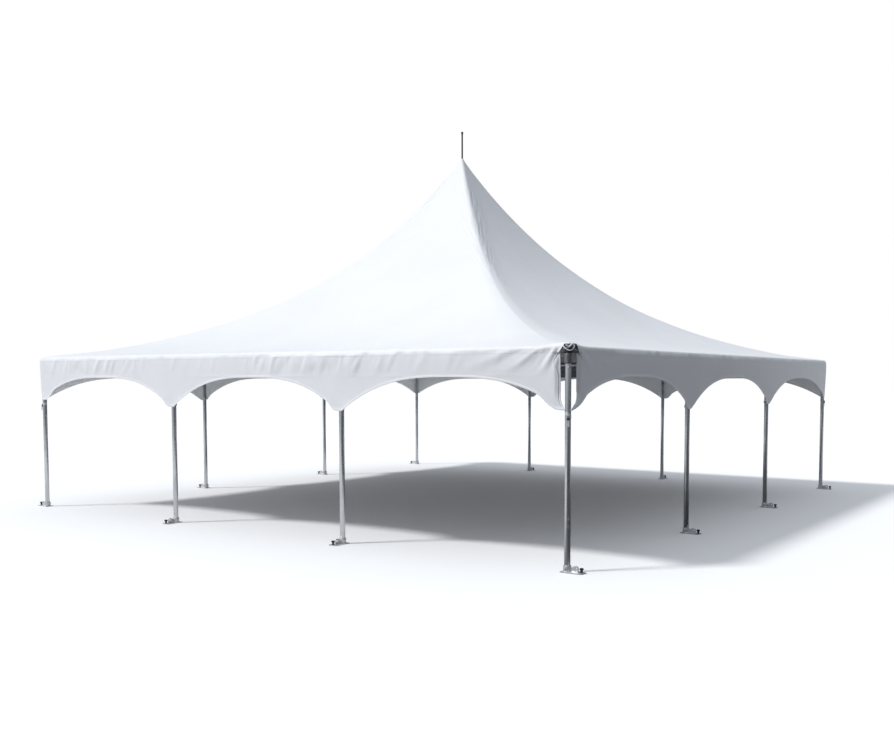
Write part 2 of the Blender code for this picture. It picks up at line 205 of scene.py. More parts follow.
class MarqueeCloth(PropertyGroup):
    """Sizes and colours of the roof, the valances and the boot."""

    thickness: FloatProperty(
        name="Thickness", description="Thickness of the coated cloth with its hems", default=0.002,
        min=0.0005, max=0.006, unit="LENGTH")
    hip_softness: FloatProperty(
        name="Hip softness", description="How widely two roof panels blend into each other near the corners",
        default=0.13, min=0.01, max=0.5)
    pucker_depth: FloatProperty(
        name="Pucker depth", description="How far the puckers at the eave stand out", default=0.014,
        min=0.0, max=0.03, unit="LENGTH")
    front_slit: FloatProperty(
        name="Front slit", description="From the open corner's leg to the end of the front valance",
        default=0.083, min=0.05, max=0.3, unit="LENGTH")
    right_slit: FloatProperty(
        name="Right slit", description="From the open corner's leg to the end of the right valance",
        default=0.155, min=0.05, max=0.3, unit="LENGTH")
    hem_width: FloatProperty(
        name="Hem width", description="Width of the folded hem along the arches", default=0.025,
        min=0.005, max=0.1, unit="LENGTH")
    outer_colour: FloatVectorProperty(
        name="Outer colour", description="Colour of the cloth's outer face", subtype="COLOR", size=4,
        default=(0.86, 0.87, 0.89, 1.0), min=0.0, max=1.0)
    # The lining colour is painted shade: the dark grey that stands for the shade inside the tent.
    lining_shade_colour: FloatVectorProperty(
        name="Inner colour", description="Colour of the cloth's lining face", subtype="COLOR", size=4,
        default=(0.25, 0.26, 0.28, 1.0), min=0.0, max=1.0)


class MarqueeFrame(PropertyGroup):
    """Sizes and colours of the tubes, fittings, plates, cables and ties."""

    weld_radius: FloatProperty(
        name="Weld radius", description="Radius of the weld beads", default=0.004,
        min=0.001, max=0.01, unit="LENGTH")
    bolt_radius: FloatProperty(
        name="Bolt radius", description="Radius of the bolts' shanks", default=0.005,
        min=0.002, max=0.01, unit="LENGTH")
    stake_height: FloatProperty(
        name="Stake height", description="How high the driven stakes stand above the floor", default=0.058,
        min=0.03, max=0.2, unit="LENGTH")
    strap_width: FloatProperty(
        name="Strap width", description="Width of the webbing straps", default=0.025,
        min=0.01, max=0.05, unit="LENGTH")
    tube_colour: FloatVectorProperty(
        name="Tube colour", description="Colour of the drawn aluminium tubes", subtype="COLOR", size=4,
        default=(0.72, 0.73, 0.74, 1.0), min=0.0, max=1.0)
    zinc_colour: FloatVectorProperty(
        name="Zinc colour", description="Colour of the galvanised plates", subtype="COLOR", size=4,
        default=(0.80, 0.81, 0.81, 1.0), min=0.0, max=1.0)
    steel_colour: FloatVectorProperty(
        name="Dark steel colour", description="Colour of the rod and the stakes", subtype="COLOR", size=4,
        default=(0.052, 0.050, 0.058, 1.0), min=0.0, max=1.0)
    webbing_colour: FloatVectorProperty(
        name="Webbing colour", description="Colour of the tie straps", subtype="COLOR", size=4,
        default=(0.80, 0.81, 0.80, 1.0), min=0.0, max=1.0)


class MarqueeStage(PropertyGroup):
    """The studio: floor, light and camera."""

    floor_half: FloatProperty(
        name="Floor half side", description="Half the side of the floor", default=120.0, min=10.0,
        max=500.0, unit="LENGTH")
    floor_colour: FloatVectorProperty(
        name="Floor colour", description="Colour of the floor", subtype="COLOR", size=4,
        default=(0.92, 0.92, 0.92, 1.0), min=0.0, max=1.0)
    key_strength: FloatProperty(
        name="Key strength", description="Strength of the key light", default=2.15, min=0.0, max=20.0)
    key_azimuth: FloatProperty(
        name="Key azimuth", description="Where the key light comes from, turned from -Y towards -X",
        default=radians(42.0), subtype="ANGLE", unit="ROTATION")
    key_elevation: FloatProperty(
        name="Key elevation", description="How high the key light stands", default=radians(50.0),
        subtype="ANGLE", unit="ROTATION")
    sky_strength: FloatProperty(
        name="Sky strength", description="Strength of the studio's soft light", default=1.0, min=0.0, max=5.0)
    lens: FloatProperty(name="Lens", description="Focal length of the camera", default=39.27, min=10.0,
                        max=200.0, unit="CAMERA")


def cloth_settings():
    """The settings of the cloth."""
    return bpy.context.scene.marquee_cloth


def frame_settings():
    """The settings of the tubes and fittings."""
    return bpy.context.scene.marquee_frame


def stage_settings():
    """The settings of the studio."""
    return bpy.context.scene.marquee_stage


def smooth(low, high, value):
    """0 below low, 1 above high, and a soft step between them."""
    share = min(max((value - low) / (high - low), 0.0), 1.0)
    return share * share * (3 - 2 * share)


def waver(x, y, z):
    """Smooth noise about 0 at a place."""
    return noise.noise(Vector((x, y, z)))


class Wire:
    """A value that runs from one shader node to the next, so that sums are written plainly."""

    def __init__(self, recipe, socket):
        self.recipe = recipe
        self.socket = socket

    def sum(self, operation, first, second):
        """A sum of two values."""
        return self.recipe.node("ShaderNodeMath", {"operation": operation}, {0: first, 1: second})

    def __add__(self, other):
        return self.sum("ADD", self, other)

    __radd__ = __add__

    def __sub__(self, other):
        return self.sum("SUBTRACT", self, other)

    def __rsub__(self, other):
        return self.sum("SUBTRACT", other, self)

    def __mul__(self, other):
        return self.sum("MULTIPLY", self, other)

    __rmul__ = __mul__

    def __truediv__(self, other):
        return self.sum("DIVIDE", self, other)


class Recipe:
    """The shader nodes of one finish."""

    def __init__(self, tree):
        self.tree = tree
        tree.nodes.clear()

    def node(self, kind, settings=None, sockets=None, output=0):
        """Adds a node, sets it first and then gives its sockets their values or links."""
        made = self.tree.nodes.new(kind)
        for name, value in (settings or {}).items():
            setattr(made, name, value)
        for name, value in (sockets or {}).items():
            if isinstance(value, Wire):
                self.tree.links.new(value.socket, made.inputs[name])
            else:
                made.inputs[name].default_value = value
        return Wire(self, made.outputs[output]) if made.outputs else None

    def place(self):
        """The place on the object, in metres."""
        return self.node("ShaderNodeTexCoord", output="Object")

    def metres(self):
        """The piece's own UV map, in metres along and down the cloth, or round and along a tube."""
        return self.node("ShaderNodeUVMap", {"uv_map": "metres"})

    def parts(self, vector):
        """The three parts of a vector."""
        cut = self.node("ShaderNodeSeparateXYZ", sockets={0: vector})
        return [Wire(self, socket) for socket in cut.socket.node.outputs]

    def point(self, x, y, z=0.0):
        """A vector of three parts."""
        return self.node("ShaderNodeCombineXYZ", sockets={0: x, 1: y, 2: z})

    def stretched(self, vector, scale):
        """A vector with each of its parts multiplied."""
        return self.node("ShaderNodeVectorMath", {"operation": "MULTIPLY"}, {0: vector, 1: scale})

    def grain(self, vector, scale, detail=3.0, roughness=0.55):
        """Soft noise from 0 to 1."""
        return self.node(
            "ShaderNodeTexNoise", {"noise_dimensions": "3D"},
            {"Vector": vector, "Scale": scale, "Detail": detail, "Roughness": roughness})

    def spots(self, vector, scale, detail, low, high, roughness=0.55):
        """Soft noise cut into spots: 0 where it is below low, and 1 where it is above high."""
        return self.step(self.grain(vector, scale, detail, roughness), low, high)

    def cells(self, vector, scale, feature="F1", output="Distance"):
        """A pattern of crystals."""
        return self.node("ShaderNodeTexVoronoi", {"feature": feature}, {"Vector": vector, "Scale": scale},
                         output=output)

    def step(self, value, low, high):
        """0 below low, 1 above high, and a soft step between them."""
        return self.node(
            "ShaderNodeMapRange", {"interpolation_type": "SMOOTHSTEP", "clamp": True},
            {"Value": value, "From Min": low, "From Max": high, "To Min": 0.0, "To Max": 1.0})

    def one(self, operation, value):
        """A sum of one value."""
        return self.node("ShaderNodeMath", {"operation": operation}, {0: value})

    def wave(self, value, pitch):
        """A sine wave that repeats at a pitch."""
        return self.one("SINE", value * (2 * pi / pitch))

    def blend(self, share, first, second):
        """A colour between two colours."""
        return self.node(
            "ShaderNodeMix", {"data_type": "RGBA", "blend_type": "MIX", "clamp_factor": True},
            {0: share, 6: first, 7: second}, output=2)

    def choose(self, first, second):
        """Ends the recipe with one shader for the camera's own rays and another for all others."""
        seen = self.node("ShaderNodeLightPath", output="Is Camera Ray")
        return self.node("ShaderNodeMixShader", sockets={0: seen, 1: second, 2: first})

    def surface(self, height, **sockets):
        """The Principled surface with a relief in metres, and with its sockets named in lower case."""
        normal = self.node("ShaderNodeBump", sockets={"Height": height, "Strength": 1.0, "Distance": 1.0})
        named = {
            name.replace("_", " ").title().replace("Ior", "IOR"): value for name, value in sockets.items()}
        shader = self.node("ShaderNodeBsdfPrincipled", sockets={**named, "Normal": normal})
        self.node("ShaderNodeOutputMaterial", sockets={"Surface": shader})


def shade(colour, factor):
    """A colour made lighter or darker."""
    return (*[min(part * factor, 1.0) for part in colour[:3]], 1.0)


def woven(recipe):
    """Height of a plain weave, from -1 to 1."""
    along, down, _ = recipe.parts(recipe.metres())
    return recipe.wave(along, WEAVE_PITCH) * recipe.wave(down, WEAVE_PITCH)


def crumpled(recipe):
    """Height of soft crumples and of the straight creases that storage leaves, in metres."""
    flat = recipe.metres()
    along, down, _ = recipe.parts(flat)
    drift = recipe.grain(flat, 0.8, 2.0) * 0.10
    fold_along = recipe.one("PINGPONG", (along + drift) / 1.35)
    fold_down = recipe.one("PINGPONG", (down + drift) / 0.95)
    creases = (1 - recipe.step(fold_along, 0.0, 0.010)) + (1 - recipe.step(fold_down, 0.0, 0.013))
    patches = recipe.spots(flat, 0.5, 1.0, 0.45, 0.65)
    crumple = recipe.grain(recipe.stretched(flat, (3.0, 1.6, 1.0)), 1.5, 4.0, 0.5)
    return creases * patches * 0.0007 + crumple * 0.006


def paint_cloth(recipe, *reliefs):
    """White coated cloth: a soft satin face with a faint weave, crumples and a little dust."""
    colour = cloth_settings().outer_colour
    place = recipe.place()
    cloud = recipe.spots(place, 0.9, 4.0, 0.35, 0.7)
    dust = recipe.spots(place, 6.0, 5.0, 0.55, 0.85, 0.65)
    tone = recipe.blend(cloud, shade(colour, 1.0), shade(colour, 0.975))
    tone = recipe.blend(dust * 0.10, tone, (0.70, 0.69, 0.66, 1.0))
    height = sum(reliefs, crumpled(recipe)) + woven(recipe) * 0.00005
    recipe.surface(
        height, base_color=tone, roughness=0.46 + recipe.grain(place, 3.0) * 0.10, specular_ior_level=0.35)


def paint_roof_cloth(recipe):
    """The white cloth with short puckers along the hips and a welded seam beside each."""
    x, y, _ = recipe.parts(recipe.place())
    wide = recipe.one("ABSOLUTE", x)
    deep = recipe.one("ABSOLUTE", y)
    beside = recipe.one("ABSOLUTE", wide - deep)
    down_hip = wide + deep
    near_hip = 1 - recipe.step(beside, 0.03, 0.42)
    near_peak = recipe.step(down_hip, 0.35, 0.9) * (1 - recipe.step(down_hip, 2.2, 4.2))
    stroke = recipe.grain(recipe.point(beside * 15.0 + down_hip * 1.6, down_hip * 2.1), 1.0, 2.0, 0.45)
    seam = recipe.step(beside, 0.050, 0.054) * -0.0006
    paint_cloth(recipe, stroke * near_hip * near_peak * 0.022, seam)


def paint_lining(recipe):
    """The lining face: painted shade, a matt dark grey, above the crease, and plain white cloth in the
    scallops, made a little lighter than the outer face as painted light.
    """
    grey = cloth_settings().lining_shade_colour
    white = cloth_settings().outer_colour
    place = recipe.place()
    cloud = recipe.spots(place, 1.3, 4.0, 0.3, 0.7)
    # Above the crease the lining is painted dark grey for the shade inside the tent; below it the white is
    # lightened as painted light.
    painted_shade_band = recipe.step(recipe.parts(place)[2], CREASE_Z - 0.004, CREASE_Z + 0.004)
    tone = recipe.blend(cloud, shade(grey, 1.0), shade(grey, 0.90))
    recipe.surface(
        crumpled(recipe) + woven(recipe) * 0.00008 + painted_shade_band * 0.0006,
        base_color=recipe.blend(painted_shade_band, shade(white, 1.06), tone), roughness=0.72, specular_ior_level=0.2,
        subsurface_weight=0.85, subsurface_radius=(1.0, 1.0, 1.0), subsurface_scale=0.004)


def paint_piping(recipe):
    """Bright welded edge tape with fine ribs across."""
    along, down, _ = recipe.parts(recipe.metres())
    cloud = recipe.grain(recipe.place(), 8.0)
    recipe.surface(
        recipe.wave(along + down, 0.004) * 0.00015, roughness=0.40,
        base_color=recipe.blend(cloud, (0.90, 0.91, 0.92, 1.0), (0.82, 0.83, 0.85, 1.0)))


def paint_webbing(recipe):
    """Polyester webbing: ribs along, fine picks across and a greyer wear."""
    colour = frame_settings().webbing_colour
    across, along, _ = recipe.parts(recipe.metres())
    ribs = recipe.wave(across, 0.0025)
    picks = recipe.wave(along, 0.0018)
    worn = recipe.spots(recipe.place(), 30.0, 4.0, 0.4, 0.75)
    recipe.surface(
        ribs * 0.00018 + picks * ribs * 0.00012, roughness=0.85, specular_ior_level=0.25,
        base_color=recipe.blend(worn, shade(colour, 1.0), shade(colour, 0.78)))


def paint_tube(recipe):
    """Drawn aluminium: long die lines, dull smudges and a few fine scratches."""
    colour = frame_settings().tube_colour
    flat = recipe.metres()
    lines = recipe.grain(recipe.stretched(flat, (260.0, 1.2, 1.0)), 1.0, 3.0, 0.6)
    smudge = recipe.spots(recipe.stretched(recipe.place(), (1.0, 1.0, 0.35)), 9.0, 5.0, 0.35, 0.75, 0.6)
    cuts = recipe.spots(recipe.stretched(flat, (30.0, 420.0, 1.0)), 1.0, 2.0, 0.72, 0.78)
    tone = recipe.blend(smudge, shade(colour, 1.06), shade(colour, 0.86))
    recipe.surface(
        lines * 0.00006 - cuts * 0.00004, base_color=recipe.blend(cuts * 0.35, tone, shade(colour, 1.25)),
        metallic=1.0, roughness=0.22 + smudge * 0.14 + lines * 0.05)


def paint_zinc(recipe):
    """Hot-dip zinc: large crystals of slightly different grey, dull spots and thin rust."""
    colour = frame_settings().zinc_colour
    place = recipe.place()
    tint = recipe.parts(recipe.cells(place, 62.0, output="Color"))[0]
    edges = recipe.cells(place, 62.0, "DISTANCE_TO_EDGE")
    dull = recipe.spots(place, 24.0, 5.0, 0.42, 0.72, 0.6)
    rust = recipe.spots(place, 45.0, 6.0, 0.66, 0.80, 0.7)
    tone = recipe.blend(tint, shade(colour, 1.12), shade(colour, 0.82))
    tone = recipe.blend(dull * 0.5, tone, (0.62, 0.63, 0.63, 1.0))
    tone = recipe.blend(rust * 0.35, tone, (0.30, 0.20, 0.13, 1.0))
    recipe.surface(
        recipe.step(edges, 0.0, 0.06) * 0.00008 + dull * 0.0001,
        base_color=tone, metallic=0.72 - rust * 0.5, roughness=0.36 + dull * 0.22 + tint * 0.08)


def paint_casting(recipe):
    """A galvanised casting, coloured darker than its zinc as painted shade: sandy skin, random darker patches
    and brighter worn spots.
    """
    place = recipe.place()
    sand = recipe.grain(place, 420.0, 4.0, 0.65)
    cloud = recipe.spots(place, 28.0, 4.0, 0.35, 0.7)
    worn = recipe.spots(place, 60.0, 3.0, 0.62, 0.75)
    # Both casting tones are dark as painted shade, for fittings that lie in the shade of the roof; the cloud
    # between them is random.
    tone = recipe.blend(cloud, (0.26, 0.265, 0.27, 1.0), (0.15, 0.155, 0.16, 1.0))
    tone = recipe.blend(worn * 0.6, tone, (0.46, 0.47, 0.48, 1.0))
    recipe.surface(sand * 0.00025, base_color=tone, metallic=0.85, roughness=0.52 - worn * 0.18)


def paint_plated(recipe):
    """Zinc-plated bolts, pins and buckles: bright, with a fine grain."""
    place = recipe.place()
    fine = recipe.grain(place, 900.0, 2.0)
    cloud = recipe.spots(place, 70.0, 4.0, 0.35, 0.7)
    tone = recipe.blend(cloud, (0.83, 0.83, 0.82, 1.0), (0.66, 0.66, 0.65, 1.0))
    recipe.surface(fine * 0.00003, base_color=tone, metallic=1.0, roughness=0.22 + cloud * 0.14)


def paint_steel(recipe):
    """Weathered dark steel: brown patches, pits and rubbed spots."""
    place = recipe.place()
    rust = recipe.spots(place, 38.0, 6.0, 0.50, 0.70, 0.7)
    pits = recipe.grain(place, 300.0, 4.0, 0.6)
    rubbed = recipe.spots(place, 22.0, 3.0, 0.62, 0.78)
    tone = recipe.blend(rust * 0.55, list(frame_settings().steel_colour), (0.12, 0.075, 0.052, 1.0))
    tone = recipe.blend(rubbed * 0.4, tone, (0.20, 0.20, 0.21, 1.0))
    recipe.surface(pits * 0.0003, base_color=tone, metallic=0.8 - rust * 0.5,
                   roughness=0.48 + rust * 0.25 - rubbed * 0.12)


def paint_rope(recipe):
    """Wire rope: six strands laid round each other, each of fine wires, with painted shade in the grooves
    between strands.
    """
    around, along, _ = recipe.parts(recipe.metres())
    turn = around / (2 * pi * CABLE_R)
    strands = recipe.one("ABSOLUTE", recipe.one("SINE", (turn * 6 + along / 0.011) * pi))
    wires = recipe.one("ABSOLUTE", recipe.one("SINE", (turn * 30 - along / 0.008) * pi))
    grime = recipe.spots(recipe.place(), 14.0, 4.0, 0.4, 0.7)
    # Painted shade: the grooves between strands are coloured dark, the strand crowns light.
    unshaded_crowns = recipe.step(strands, 0.0, 0.5)
    tone = recipe.blend(unshaded_crowns, (0.14, 0.14, 0.14, 1.0), (0.56, 0.57, 0.58, 1.0))
    tone = recipe.blend(grime * 0.4, tone, (0.28, 0.27, 0.26, 1.0))
    recipe.surface(
        strands * 0.0014 + wires * 0.0002, base_color=tone, metallic=0.9, roughness=0.38 + grime * 0.2)


def paint_floor(recipe):
    """A matt pale floor for the camera. For all other rays it is muted, with painted shade that is darkest on
    the right in front.
    """
    colour = stage_settings().floor_colour
    tone = recipe.blend(recipe.grain(recipe.place(), 0.4, 3.0), shade(colour, 1.0), shade(colour, 0.985))
    pale = recipe.node("ShaderNodeBsdfPrincipled", sockets={
        "Base Color": tone, "Roughness": 1.0, "Specular IOR Level": 0.0,
        "Emission Color": (1.0, 1.0, 1.0, 1.0), "Emission Strength": 0.07})
    # The muted colour is painted light and shade for the light that the floor bounces: lit on the left, dim
    # on the right and darkest in front.
    x, y, _ = recipe.parts(recipe.place())
    lit = recipe.step(x * -0.99 + y * -0.06, -4.9, -2.6)
    dim = recipe.blend(recipe.step(y, -1.0, 7.0), shade(colour, 0.08), shade(colour, 0.70))
    graded = recipe.blend(lit, dim, shade(colour, 0.76))
    muted = recipe.node("ShaderNodeBsdfDiffuse", sockets={"Color": graded})
    recipe.node("ShaderNodeOutputMaterial", sockets={"Surface": recipe.choose(pale, muted)})


def paint_sky(recipe):
    """A white backdrop for the camera. It lights the tent more from the front left and from above."""
    way = recipe.node("ShaderNodeTexCoord", output="Generated")
    side = recipe.node("ShaderNodeVectorMath", {"operation": "DOT_PRODUCT"}, {0: way, 1: (-0.78, -0.62, 0.0)},
                       output="Value")
    low = recipe.blend(recipe.step(side, -0.3, 0.9), (0.078, 0.083, 0.093, 1.0), (0.36, 0.37, 0.39, 1.0))
    tone = recipe.blend(recipe.step(recipe.parts(way)[2], 0.06, 0.85), low, (0.63, 0.675, 0.74, 1.0))
    strength = stage_settings().sky_strength
    soft = recipe.node("ShaderNodeBackground", sockets={"Color": tone, "Strength": strength})
    white = recipe.node("ShaderNodeBackground", sockets={"Color": (1, 1, 1, 1), "Strength": 1.0})
    recipe.node("ShaderNodeOutputWorld", sockets={"Surface": recipe.choose(white, soft)})


PAINTS = {
    "coated_cloth_outer": paint_cloth,
    "coated_cloth_roof": paint_roof_cloth,
    "coated_cloth_lining_painted_shade": paint_lining,
    "edge_piping": paint_piping,
    "tie_webbing": paint_webbing,
    "drawn_tube": paint_tube,
    "galvanised_plate": paint_zinc,
    "galvanised_casting_painted_shade": paint_casting,
    "plated_bolt": paint_plated,
    "dark_steel": paint_steel,
    "wire_rope": paint_rope,
    "studio_floor": paint_floor,
}


def finish(name):
    """The material of that name, made when it is first asked for."""
    known = bpy.data.materials.get(name)
    if known:
        return known
    material = bpy.data.materials.new(name)
    material.use_nodes = True
    PAINTS[name](Recipe(material.node_tree))
    return material


def mesh_of(name, bm, finishes=()):
    """Turns a finished bmesh into a mesh with its finishes."""
    mesh = bpy.data.meshes.new(name)
    bm.to_mesh(mesh)
    bm.free()
    for finish_name in finishes:
        mesh.materials.append(finish(finish_name))
    return mesh


def linked(name, data):
    """A new object in the scene."""
    item = bpy.data.objects.new(name, data)
    bpy.context.scene.collection.objects.link(item)
    return item


def map_round(bm, radius):
    """Gives a shape about the Z axis its UV map: the way round and the height, in metres."""
    layer = bm.loops.layers.uv.verify()
    for face in bm.faces:
        turns = [atan2(loop.vert.co.y, loop.vert.co.x) for loop in face.loops]
        wraps = max(turns) - min(turns) > pi
        for loop, turn in zip(face.loops, turns):
            if wraps and turn < 0:
                turn += 2 * pi
            loop[layer].uv = (turn * radius, loop.vert.co.z + hypot(loop.vert.co.x, loop.vert.co.y) - radius)


def map_flat(bm):
    """Gives a flat or boxy shape its UV map from its own x and y, in metres."""
    layer = bm.loops.layers.uv.verify()
    for face in bm.faces:
        for loop in face.loops:
            loop[layer].uv = (loop.vert.co.x + loop.vert.co.z, loop.vert.co.y)


def soften(bm, width, segments=2, over=radians(40)):
    """Rounds every edge that is sharper than the given angle."""
    bm.normal_update()
    sharp = [edge for edge in bm.edges if edge.is_manifold and edge.calc_face_angle(0.0) > over]
    bmesh.ops.bevel(
        bm, geom=sharp, offset=width, offset_type="OFFSET", segments=segments, profile=0.5,
        affect="EDGES", material=-1, clamp_overlap=True)


def keep(bm):
    """Turns a finished bmesh into a shape that pieces can be put together from."""
    bmesh.ops.recalc_face_normals(bm, faces=bm.faces)
    bm.loops.layers.uv.verify()
    return mesh_of("shape", bm)


@lru_cache(maxsize=None)
def turned(outline, sides=ROUND, edge=0.0):
    """A shape spun round +Z from (radius, height) points. A closed wall repeats its first point last."""
    bm = bmesh.new()
    verts = [bm.verts.new((radius, 0.0, height)) for radius, height in outline]
    edges = [bm.edges.new(pair) for pair in zip(verts, verts[1:])]
    bmesh.ops.spin(
        bm, geom=verts + edges, cent=(0, 0, 0), axis=(0, 0, 1), dvec=(0, 0, 0), angle=2 * pi, steps=sides,
        use_merge=True, use_normal_flip=False, use_duplicate=False)
    bmesh.ops.remove_doubles(bm, verts=bm.verts, dist=1e-6)
    bmesh.ops.recalc_face_normals(bm, faces=bm.faces)
    if edge:
        soften(bm, edge)
    map_round(bm, max(radius for radius, _ in outline))
    return keep(bm)


def bar(radius, length, edge=0.0, sides=ROUND):
    """A solid round bar up +Z from its foot."""
    return turned(((0.0, 0.0), (radius, 0.0), (radius, length), (0.0, length)), sides, edge)


def pipe(outer, inner, low, high, edge=PIPE_EDGE):
    """An open tube along Z."""
    return turned(((outer, low), (outer, high), (inner, high), (inner, low), (outer, low)), ROUND, edge)


def ring(radius, thickness, sides=ROUND):
    """A round ring in the XY plane."""
    return turned(arc((radius, 0.0), thickness, 0, 360, 8), sides)


def hex_head(across, height):
    """A six-sided head with its corners chamfered, up +Z."""
    radius = across / sqrt(3)
    cut = height * 0.22
    top = height - cut
    return turned(((0.0, 0.0), (radius, 0.0), (radius, top), (radius - cut, height), (0.0, height)), 6)


@lru_cache(maxsize=None)
def block(wide, deep, high, edge):
    """A rounded block about the middle of its foot."""
    bm = bmesh.new()
    size = Matrix.Diagonal((wide, deep, high, 1.0))
    bmesh.ops.create_cube(bm, size=1.0, matrix=Matrix.Translation((0, 0, high / 2)) @ size)
    soften(bm, edge, 3)
    map_flat(bm)
    return keep(bm)


def arc(centre, radius, start, end, steps):
    """Points on an arc, with its angles in degrees."""
    points = []
    for step in range(steps + 1):
        turn = radians(start + (end - start) * step / steps)
        points.append((round(centre[0] + radius * cos(turn), 7), round(centre[1] + radius * sin(turn), 7)))
    return tuple(points)


@lru_cache(maxsize=None)
def drilled_plate(outline, hole, hole_r, thickness, edge=0.0008):
    """A plate in the XY plane with one drilled hole, its thickness up +Z."""
    points = []
    for (x, y), (to_x, to_y) in zip(outline, outline[1:] + outline[:1]):
        cuts = max(int(hypot(to_x - x, to_y - y) / 0.012), 1)
        points += [(x + (to_x - x) * cut / cuts, y + (to_y - y) * cut / cuts) for cut in range(cuts)]
    arms = [(x - hole[0], y - hole[1]) for x, y in points]
    rim = [(hole[0] + hole_r * x / hypot(x, y), hole[1] + hole_r * y / hypot(x, y)) for x, y in arms]
    bm = bmesh.new()
    edges = []
    for line in (points, rim):
        verts = [bm.verts.new((x, y, 0.0)) for x, y in line]
        edges += [bm.edges.new(pair) for pair in zip(verts, verts[1:] + verts[:1])]
    bmesh.ops.bridge_loops(bm, edges=edges)
    made = bmesh.ops.extrude_face_region(bm, geom=bm.faces[:])
    raised = [item for item in made["geom"] if isinstance(item, bmesh.types.BMVert)]
    bmesh.ops.translate(bm, verts=raised, vec=(0, 0, thickness))
    bmesh.ops.recalc_face_normals(bm, faces=bm.faces)
    soften(bm, edge)
    map_flat(bm)
    return keep(bm)


def ribbon(points, across, width, thickness=WEB_T):
    """A flat strap of webbing along points, with its width along one direction."""
    bm = bmesh.new()
    last = len(points) - 1
    bmesh.ops.create_grid(bm, x_segments=4, y_segments=last, size=1.0)
    layer = bm.loops.layers.uv.verify()
    runs = [0.0]
    for start, end in zip(points, points[1:]):
        runs.append(runs[-1] + (end - start).length)
    for vert in bm.verts:
        step = round((vert.co.y + 1) / 2 * last)
        aside = vert.co.x * width / 2
        for loop in vert.link_loops:
            loop[layer].uv = (aside, runs[step])
        vert.co = points[step] + Vector(across) * aside
    bmesh.ops.recalc_face_normals(bm, faces=bm.faces)
    bmesh.ops.solidify(bm, geom=bm.faces[:], thickness=thickness)
    return keep(bm)


def strap_round(centre, first, second, radius, steps, across, width):
    """A loop of webbing round a tube, in the plane of two directions."""
    points = []
    for step in range(steps + 1):
        turn = 2 * pi * step / steps
        points.append(Vector(centre) + (Vector(first) * cos(turn) + Vector(second) * sin(turn)) * radius)
    return ribbon(points, across, width)


def cord_mesh(points, radius, sides=8):
    """A thin round cord through points, closed at both ends."""
    bm = bmesh.new()
    start = (points[1] - points[0]).normalized()
    bmesh.ops.create_circle(bm, cap_ends=False, radius=radius, segments=sides, matrix=stand(points[0], start))
    rim = bm.edges[:]
    for number in range(1, len(points)):
        before = (points[number] - points[number - 1]).normalized()
        after = (points[min(number + 1, len(points) - 1)] - points[number]).normalized()
        aim = (before + after).normalized()
        grown = bmesh.ops.extrude_edge_only(bm, edges=rim)["geom"]
        rim = [item for item in grown if isinstance(item, bmesh.types.BMEdge)]
        for vert in grown:
            if isinstance(vert, bmesh.types.BMVert):
                arm = vert.co - points[number - 1]
                arm -= aim * arm.dot(aim)
                vert.co = points[number] + arm.normalized() * radius
    bmesh.ops.holes_fill(bm, edges=bm.edges, sides=0)
    map_flat(bm)
    return keep(bm)


def stand(place, direction):
    """Stands a shape's +Z along a direction, with its foot at a place."""
    return Matrix.Translation(place) @ Vector(direction).to_track_quat("Z", "Y").to_matrix().to_4x4()


def shift(x=0.0, y=0.0, z=0.0):
    """A move."""
    return Matrix.Translation((x, y, z))


def turn_by(angle, axis="Z"):
    """A turn about an axis."""
    return Matrix.Rotation(angle, 4, axis)


def upright(y, z=0.0):
    """Stands a plate on its edge, with its face towards +Y at a distance."""
    return shift(0, y, z) @ turn_by(pi / 2, "X")


class Piece:
    """One piece of the tent while it is put together, in a frame of its own."""

    def __init__(self, home=Matrix.Identity(4)):
        self.home = home
        self.bm = bmesh.new()
        self.finishes = []

    def put(self, finish_name, shape, matrix):
        """Adds a shape at a place in the tent."""
        if finish_name not in self.finishes:
            self.finishes.append(finish_name)
        first_vert, first_face = len(self.bm.verts), len(self.bm.faces)
        self.bm.from_mesh(shape)
        bmesh.ops.transform(self.bm, matrix=matrix, verts=list(self.bm.verts)[first_vert:])
        for face in list(self.bm.faces)[first_face:]:
            face.material_index = self.finishes.index(finish_name)

    def add(self, finish_name, shape, place=Matrix.Identity(4)):
        """Adds a shape at a place in the piece's own frame."""
        self.put(finish_name, shape, self.home @ place)

    def aimed(self, place, direction):
        """A place and a direction of the piece's own frame, as they are in the tent."""
        return self.home @ Vector(place), (self.home.to_3x3() @ Vector(direction)).normalized()

    def head(self, foot, aim, share):
        """A washer and a six-sided head on it, as high as a share of the bolt's radius."""
        radius = frame_settings().bolt_radius
        self.put(PLATED, bar(radius * 2.1, WASHER_T, 0.0, 24), stand(foot, aim))
        self.put(PLATED, hex_head(radius * 3.2, radius * share), stand(foot + aim * WASHER_T, aim))

    def bolt(self, middle, direction, grip):
        """A through bolt: head and washer at one end, nut, washer and thread at the other."""
        radius = frame_settings().bolt_radius
        middle, aim = self.aimed(middle, direction)
        half = aim * (grip / 2)
        self.head(middle + half, aim, 1.3)
        self.head(middle - half, -aim, 1.6)
        self.put(PLATED, bar(radius, radius * 3.4, 0.0008, 16), stand(middle - half, -aim))

    def screw(self, place, direction):
        """A set bolt's head and washer, standing on a surface."""
        self.head(*self.aimed(place, direction), 1.3)

    def weld(self, place, direction, radius):
        """A weld bead round a tube."""
        self.put(CASTING, ring(radius, frame_settings().weld_radius), stand(*self.aimed(place, direction)))

    def done(self, name, nodes):
        """Makes the object and fixes it to the frame."""
        return settle(name, self.bm, self.finishes, nodes, radians(35))


